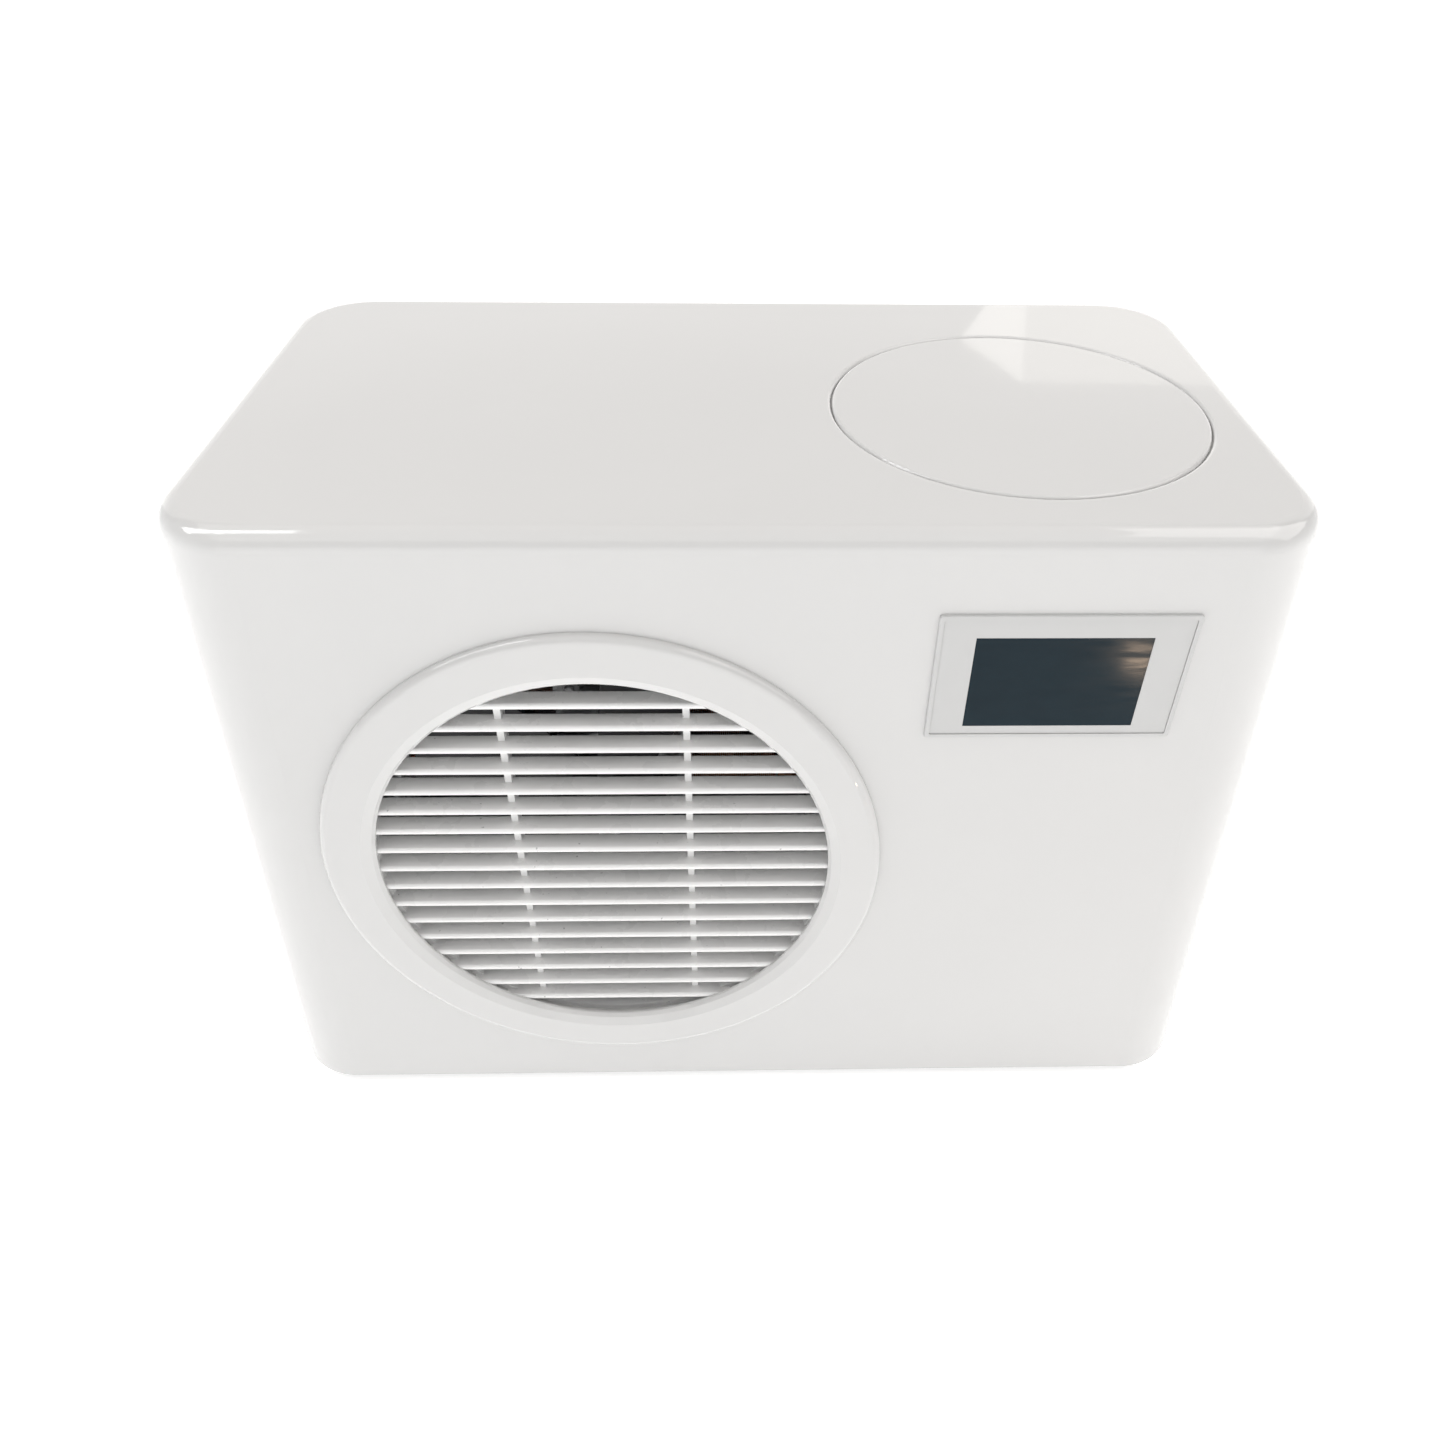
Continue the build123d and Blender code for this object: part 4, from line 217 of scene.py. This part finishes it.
# ---- Fine detail ------------------------------------------------------------------------
FIN_PITCH = 2.2 * MM
FIN_THICK = 0.2 * MM
FIN_WAVES = 8
FIN_WAVE = 0.45 * MM
THREAD_PITCH = 1.81 * MM
THREAD_HEIGHT = 0.45 * MM
THREAD_SINK = 0.25 * MM
THREAD_SEGMENTS = 48
# A thread's half width at its foot and at its crest, in pitches.
THREAD_FOOT = 0.42
THREAD_CREST = 0.08
# The part of a turn over which a thread rises at each end.
THREAD_FADE = 0.5

# ---- Materials --------------------------------------------------------------------------
# Noise is spread over the middle band that it mostly fills.
NOISE_LOW = 0.3
NOISE_HIGH = 0.7
# Features per metre of the grain that a spark-textured mould leaves.
MOULD_GRAIN = 1400.0
COAT_ROUGHNESS = 0.02
# Lower than plain glass, chosen so that the dark window reflects only faintly.
SCREEN_IOR = 1.28
SHELL_WHITE = (0.67, 0.67, 0.665)


class Surface:
    """A node material built up step by step over the object's own coordinates."""

    def __init__(self, name):
        self.material = bpy.data.materials.new(name)
        self.material.use_nodes = True
        self.tree = self.material.node_tree
        self.shader = self.tree.nodes["Principled BSDF"]
        self.coordinates = self.add("ShaderNodeTexCoord").outputs["Object"]

    def add(self, kind, **settings):
        node = self.tree.nodes.new(kind)
        for key, value in settings.items():
            setattr(node, key, value)
        return node

    def link(self, source, target):
        self.tree.links.new(source, target)

    def value(self, socket, number):
        self.shader.inputs[socket].default_value = number

    def noise(self, scale, detail, stretch=(1, 1, 1), distortion=0.0):
        """Noise output, in features per metre, stretched along the axes."""
        mapping = self.add("ShaderNodeMapping")
        mapping.inputs["Scale"].default_value = stretch
        self.link(self.coordinates, mapping.inputs["Vector"])
        texture = self.add("ShaderNodeTexNoise")
        texture.inputs["Scale"].default_value = scale
        texture.inputs["Detail"].default_value = detail
        texture.inputs["Distortion"].default_value = distortion
        self.link(mapping.outputs["Vector"], texture.inputs["Vector"])
        return texture.outputs["Fac"]

    def cloud(self, source, low, high):
        """A colour that drifts between two over the noise's middle band."""
        return self.ramp(source, [(NOISE_LOW, low), (NOISE_HIGH, high)])

    def ramp(self, source, stops):
        """Colour ramp from a list of (position, colour)."""
        ramp = self.add("ShaderNodeValToRGB")
        elements = ramp.color_ramp.elements
        while len(elements) < len(stops):
            elements.new(0.5)
        for element, (position, colour) in zip(elements, stops):
            element.position = position
            element.color = (*colour, 1)
        self.link(source, ramp.inputs["Fac"])
        return ramp.outputs["Color"]

    def span(self, source, low, high, source_low=NOISE_LOW, source_high=NOISE_HIGH):
        """A band of the source, which is noise unless told, spread between two values."""
        spread = self.add("ShaderNodeMapRange")
        spread.inputs["From Min"].default_value = source_low
        spread.inputs["From Max"].default_value = source_high
        spread.inputs["To Min"].default_value = low
        spread.inputs["To Max"].default_value = high
        self.link(source, spread.inputs["Value"])
        return spread.outputs["Result"]

    def mix(self, factor, first, second):
        """Two colours mixed by a factor."""
        mix = self.add("ShaderNodeMix", data_type="RGBA")
        self.link(factor, mix.inputs["Factor"])
        self.link(first, mix.inputs["A"])
        self.link(second, mix.inputs["B"])
        return mix.outputs["Result"]

    def colour(self, source):
        self.link(source, self.shader.inputs["Base Color"])

    def roughness(self, source):
        self.link(source, self.shader.inputs["Roughness"])

    def uneven(self, source, rough, low, high):
        """Roughness that wanders between two multiples of its base value."""
        self.roughness(self.span(source, rough * low, min(1.0, rough * high)))

    def bump(self, source, strength, distance):
        """A bump laid over any bump already made."""
        bump = self.add("ShaderNodeBump")
        bump.inputs["Strength"].default_value = strength
        bump.inputs["Distance"].default_value = distance
        self.link(source, bump.inputs["Height"])
        before = self.shader.inputs["Normal"].links
        if before:
            self.link(before[0].from_socket, bump.inputs["Normal"])
        self.link(bump.outputs["Normal"], self.shader.inputs["Normal"])


def shade(colour, factor):
    """A colour made darker or lighter."""
    return tuple(min(1.0, channel * factor) for channel in colour)


def gloss_moulding(name, colour, rough, coat, mottle):
    """Polished moulded plastic: faint clouding, a soft orange-peel surface and a clear skin."""
    surface = Surface(name)
    clouding = surface.noise(5.0, 4.0, distortion=0.6)
    surface.colour(surface.cloud(clouding, shade(colour, 1 - mottle), colour))
    surface.uneven(surface.noise(16.0, 5.0), rough, 0.75, 1.35)
    surface.bump(surface.noise(70.0, 1.0), 0.05, 0.4 * MM)
    surface.value("Coat Weight", coat)
    surface.value("Coat Roughness", COAT_ROUGHNESS)
    return surface.material


def satin_moulding(name, colour, rough, grain_scale=MOULD_GRAIN, grain=0.12, mottle=0.04):
    """Moulded plastic with a fine spark texture."""
    surface = Surface(name)
    clouding = surface.noise(14.0, 4.0)
    surface.colour(surface.cloud(clouding, shade(colour, 1 - mottle), colour))
    surface.uneven(surface.noise(40.0, 5.0), rough, 0.85, 1.2)
    surface.bump(surface.noise(grain_scale, 2.0), grain, 0.2 * MM)
    return surface.material


def dusty_moulding(name, colour, rough):
    """Satin plastic with sparse specks of dust and a faint grey film."""
    surface = Surface(name)
    film = surface.cloud(surface.noise(9.0, 4.0), shade(colour, 0.97), colour)
    speck = surface.ramp(surface.noise(240.0, 1.0), [(0.765, (0, 0, 0)), (0.8, (1, 1, 1))])
    dark, light = shade(colour, 0.5), shade(colour, 0.75)
    grit = surface.ramp(surface.noise(50.0, 2.0), [(0.0, dark), (1.0, light)])
    surface.colour(surface.mix(speck, film, grit))
    surface.uneven(surface.noise(40.0, 5.0), rough, 0.85, 1.4)
    surface.bump(surface.noise(MOULD_GRAIN, 2.0), 0.05, 0.2 * MM)
    return surface.material


def metal(name, colour, rough, stretch=(1, 1, 1), scale=220.0, tarnish=0.25, stain=None):
    """Bare metal with drawn or brushed lines and a light tarnish."""
    surface = Surface(name)
    lines = surface.noise(scale, 4.0, stretch)
    patches = surface.noise(24.0, 5.0, distortion=0.8)
    bare = surface.ramp(lines, [(0.25, shade(colour, 0.86)), (0.75, shade(colour, 1.08))])
    dull = surface.ramp(patches, [(0.35, stain or shade(colour, 0.6)), (0.65, shade(colour, 0.8))])
    surface.colour(surface.mix(surface.span(patches, 0.0, tarnish), bare, dull))
    surface.uneven(lines, rough, 0.7, 1.5)
    surface.bump(lines, 0.15, 0.2 * MM)
    surface.value("Metallic", 1.0)
    return surface.material


def painted(name, colour, rough, scale=900.0, bump=0.25):
    """Powder-coated steel with a fine pebbled skin."""
    surface = Surface(name)
    clouding = surface.noise(9.0, 5.0)
    surface.colour(surface.cloud(clouding, shade(colour, 0.9), shade(colour, 1.06)))
    surface.uneven(surface.noise(60.0, 4.0), rough, 0.85, 1.2)
    surface.bump(surface.noise(scale, 2.0), bump, 0.3 * MM)
    return surface.material


def galvanised():
    """Zinc-coated sheet with its spangle."""
    surface = Surface("galvanised")
    spangle = surface.add("ShaderNodeTexVoronoi")
    spangle.inputs["Scale"].default_value = 110.0
    surface.link(surface.coordinates, spangle.inputs["Vector"])
    split = surface.add("ShaderNodeSeparateColor")
    surface.link(spangle.outputs["Color"], split.inputs["Color"])
    dull, bright = (0.42, 0.43, 0.44), (0.66, 0.67, 0.68)
    surface.colour(surface.ramp(split.outputs["Red"], [(0.0, dull), (1.0, bright)]))
    surface.roughness(surface.span(split.outputs["Green"], 0.28, 0.5, 0.0, 1.0))
    surface.bump(surface.noise(60.0, 4.0), 0.1, 0.3 * MM)
    surface.value("Metallic", 0.9)
    return surface.material


def circuit_board():
    """Green lacquered board with a grid of paler tracks showing through."""
    surface = Surface("circuit_board")
    tracks = surface.add("ShaderNodeTexBrick")
    tracks.inputs["Scale"].default_value = 60.0
    tracks.inputs["Mortar Size"].default_value = 0.08
    tracks.inputs["Color1"].default_value = (0.010, 0.085, 0.035, 1)
    tracks.inputs["Color2"].default_value = (0.012, 0.11, 0.045, 1)
    tracks.inputs["Mortar"].default_value = (0.04, 0.2, 0.08, 1)
    surface.link(surface.coordinates, tracks.inputs["Vector"])
    surface.colour(tracks.outputs["Color"])
    surface.roughness(surface.span(surface.noise(90.0, 4.0), 0.25, 0.45))
    surface.bump(tracks.outputs["Fac"], 0.2, 0.1 * MM)
    return surface.material


def screen_glass():
    """Dark display glass, off, with a faint cloudiness under a polished face."""
    surface = Surface("screen_glass")
    clouding = surface.noise(26.0, 4.0, (1, 1, 2.2), 0.5)
    surface.colour(surface.cloud(clouding, (0.003, 0.014, 0.022), (0.005, 0.018, 0.027)))
    surface.roughness(surface.span(surface.noise(90.0, 5.0, (0.4, 1, 3)), 0.07, 0.2))
    surface.value("IOR", SCREEN_IOR)
    return surface.material


def filter_paper():
    """Pleated filter paper with loose fibres."""
    surface = Surface("filter_paper")
    fibres = surface.noise(700.0, 5.0, (1, 1, 0.3))
    surface.colour(surface.cloud(fibres, (0.52, 0.56, 0.6), (0.72, 0.76, 0.8)))
    surface.roughness(surface.span(fibres, 0.75, 0.95))
    surface.bump(fibres, 0.4, 0.4 * MM)
    return surface.material


materials = {
    "shell_white": gloss_moulding("shell_white", SHELL_WHITE, 0.055, 0.35, 0.018),
    "grille_white": dusty_moulding("grille_white", (0.93, 0.93, 0.925), 0.26),
    "screen_white": satin_moulding("screen_white", (0.595, 0.598, 0.595), 0.6, grain=0.03, mottle=0.02),
    "screen_glass": screen_glass(),
    "black_plastic": satin_moulding("black_plastic", (0.022, 0.022, 0.023), 0.42),
    "grey_plastic": satin_moulding("grey_plastic", (0.16, 0.165, 0.17), 0.45),
    "white_abs": satin_moulding("white_abs", (0.66, 0.66, 0.65), 0.38),
    "rubber_black": satin_moulding("rubber_black", (0.018, 0.018, 0.018), 0.72, 500.0, 0.3, 0.15),
    "galvanised": galvanised(),
    "pan_paint": painted("pan_paint", (0.30, 0.30, 0.295), 0.5),
    "black_paint": painted("black_paint", (0.02, 0.02, 0.021), 0.4, 400.0, 0.15),
    "motor_steel": metal("motor_steel", (0.52, 0.52, 0.53), 0.35, (1, 8, 1)),
    "copper": metal("copper", (0.85, 0.42, 0.26), 0.3, (8, 1, 1), tarnish=0.5, stain=(0.33, 0.16, 0.1)),
    "brass": metal("brass", (0.78, 0.58, 0.28), 0.3, (1, 1, 6)),
    "titanium": metal("titanium", (0.5, 0.49, 0.47), 0.35),
    "fin_aluminium": metal("fin_aluminium", (0.78, 0.79, 0.8), 0.32, (1, 1, 5)),
    "screw_steel": metal("screw_steel", (0.62, 0.62, 0.63), 0.28),
    "circuit_board": circuit_board(),
    "filter_paper": filter_paper(),
}


def dress(piece, slot_name):
    """Give a piece its slot's material and nothing else."""
    piece.data.materials.clear()
    piece.data.materials.append(materials[slot_name])


for subpart in frame["record"]["subparts"]:
    dress(nodes[subpart["node"]], subpart["material_slot"])


def link_piece(name, mesh_builder, slot_name, body="unit"):
    """Turn a bmesh into a named piece that rides on a body."""
    bmesh.ops.recalc_face_normals(mesh_builder, faces=mesh_builder.faces)
    mesh = bpy.data.meshes.new(name)
    mesh_builder.to_mesh(mesh)
    mesh_builder.free()
    piece = bpy.data.objects.new(name, mesh)
    scene.collection.objects.link(piece)
    dress(piece, slot_name)
    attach(piece, body)
    return piece


def closed_prism(mesh_builder, outline, low_z, high_z):
    """An upright prism on (x, y) points that run out along one row and back along the other.

    Its ends are strips of four-sided faces between the two rows, as the outline is not convex.
    """
    count = len(outline)
    low = [mesh_builder.verts.new((x, y, low_z)) for x, y in outline]
    high = [mesh_builder.verts.new((x, y, high_z)) for x, y in outline]
    for step in range(count):
        after = (step + 1) % count
        mesh_builder.faces.new((low[step], low[after], high[after], high[step]))
    half = count // 2
    for ring in (low, high):
        for step in range(half - 1):
            back = count - 1 - step
            mesh_builder.faces.new((ring[step], ring[step + 1], ring[back - 1], ring[back]))


def make_coil_fins():
    """The air coil's fin pack: thin corrugated plates in place of the CAD block."""
    low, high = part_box("coil_fins")
    builder = bmesh.new()
    count = round((high.x - low.x) / FIN_PITCH)
    pitch = (high.x - low.x) / count
    depths = [low.y + (high.y - low.y) * step / FIN_WAVES for step in range(FIN_WAVES + 1)]
    for fin in range(count):
        middle = low.x + pitch * (fin + 0.5)
        centre_line = []
        for step, depth in enumerate(depths):
            wave = FIN_WAVE if step % 2 else -FIN_WAVE
            centre_line.append((middle + wave, depth))
        outline = [(x - FIN_THICK / 2, y) for x, y in centre_line]
        outline += [(x + FIN_THICK / 2, y) for x, y in reversed(centre_line)]
        closed_prism(builder, outline, low.z, high.z)
    fins = link_piece("coil_fin_plates", builder, "fin_aluminium")
    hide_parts("coil_fins")


def make_thread(name, mount):
    """A helical pipe thread round a water port, on the mount's axis."""
    axis = Vector(mount["axis"]).normalized()
    middle = Vector(mount["pos_m"])
    root = mount["dims"]["r_mm"] * MM
    length = mount["dims"]["length_mm"] * MM - 2 * THREAD_PITCH
    across = axis.cross(Vector((1, 0, 0))).normalized()
    beside = axis.cross(across)
    steps = int(length / THREAD_PITCH * THREAD_SEGMENTS)
    section = [
        (-THREAD_FOOT, -THREAD_SINK),
        (-THREAD_CREST, THREAD_HEIGHT),
        (THREAD_CREST, THREAD_HEIGHT),
        (THREAD_FOOT, -THREAD_SINK),
    ]
    builder = bmesh.new()
    rings = []
    for step in range(steps + 1):
        angle = 2 * math.pi * step / THREAD_SEGMENTS
        along = -length / 2 + length * step / steps
        fade = min(1.0, min(step, steps - step) / THREAD_SEGMENTS / THREAD_FADE)
        out = across * math.cos(angle) + beside * math.sin(angle)
        ring = []
        for shift, height in section:
            rise = height * fade if height > 0 else height
            centre = middle + axis * (along + shift * THREAD_PITCH)
            ring.append(builder.verts.new(centre + out * (root + rise)))
        rings.append(ring)
    for before, after in zip(rings, rings[1:]):
        for side in range(len(section)):
            near = (side + 1) % len(section)
            builder.faces.new((before[side], before[near], after[near], after[side]))
    builder.faces.new(rings[0])
    builder.faces.new(list(reversed(rings[-1])))
    link_piece(name, builder, "grey_plastic")


make_coil_fins()
for mount in frame["record"]["mounts"]:
    if mount["name"] in ("water_inlet", "water_outlet"):
        make_thread(mount["name"] + "_thread", mount)
make_camera()
make_studio()
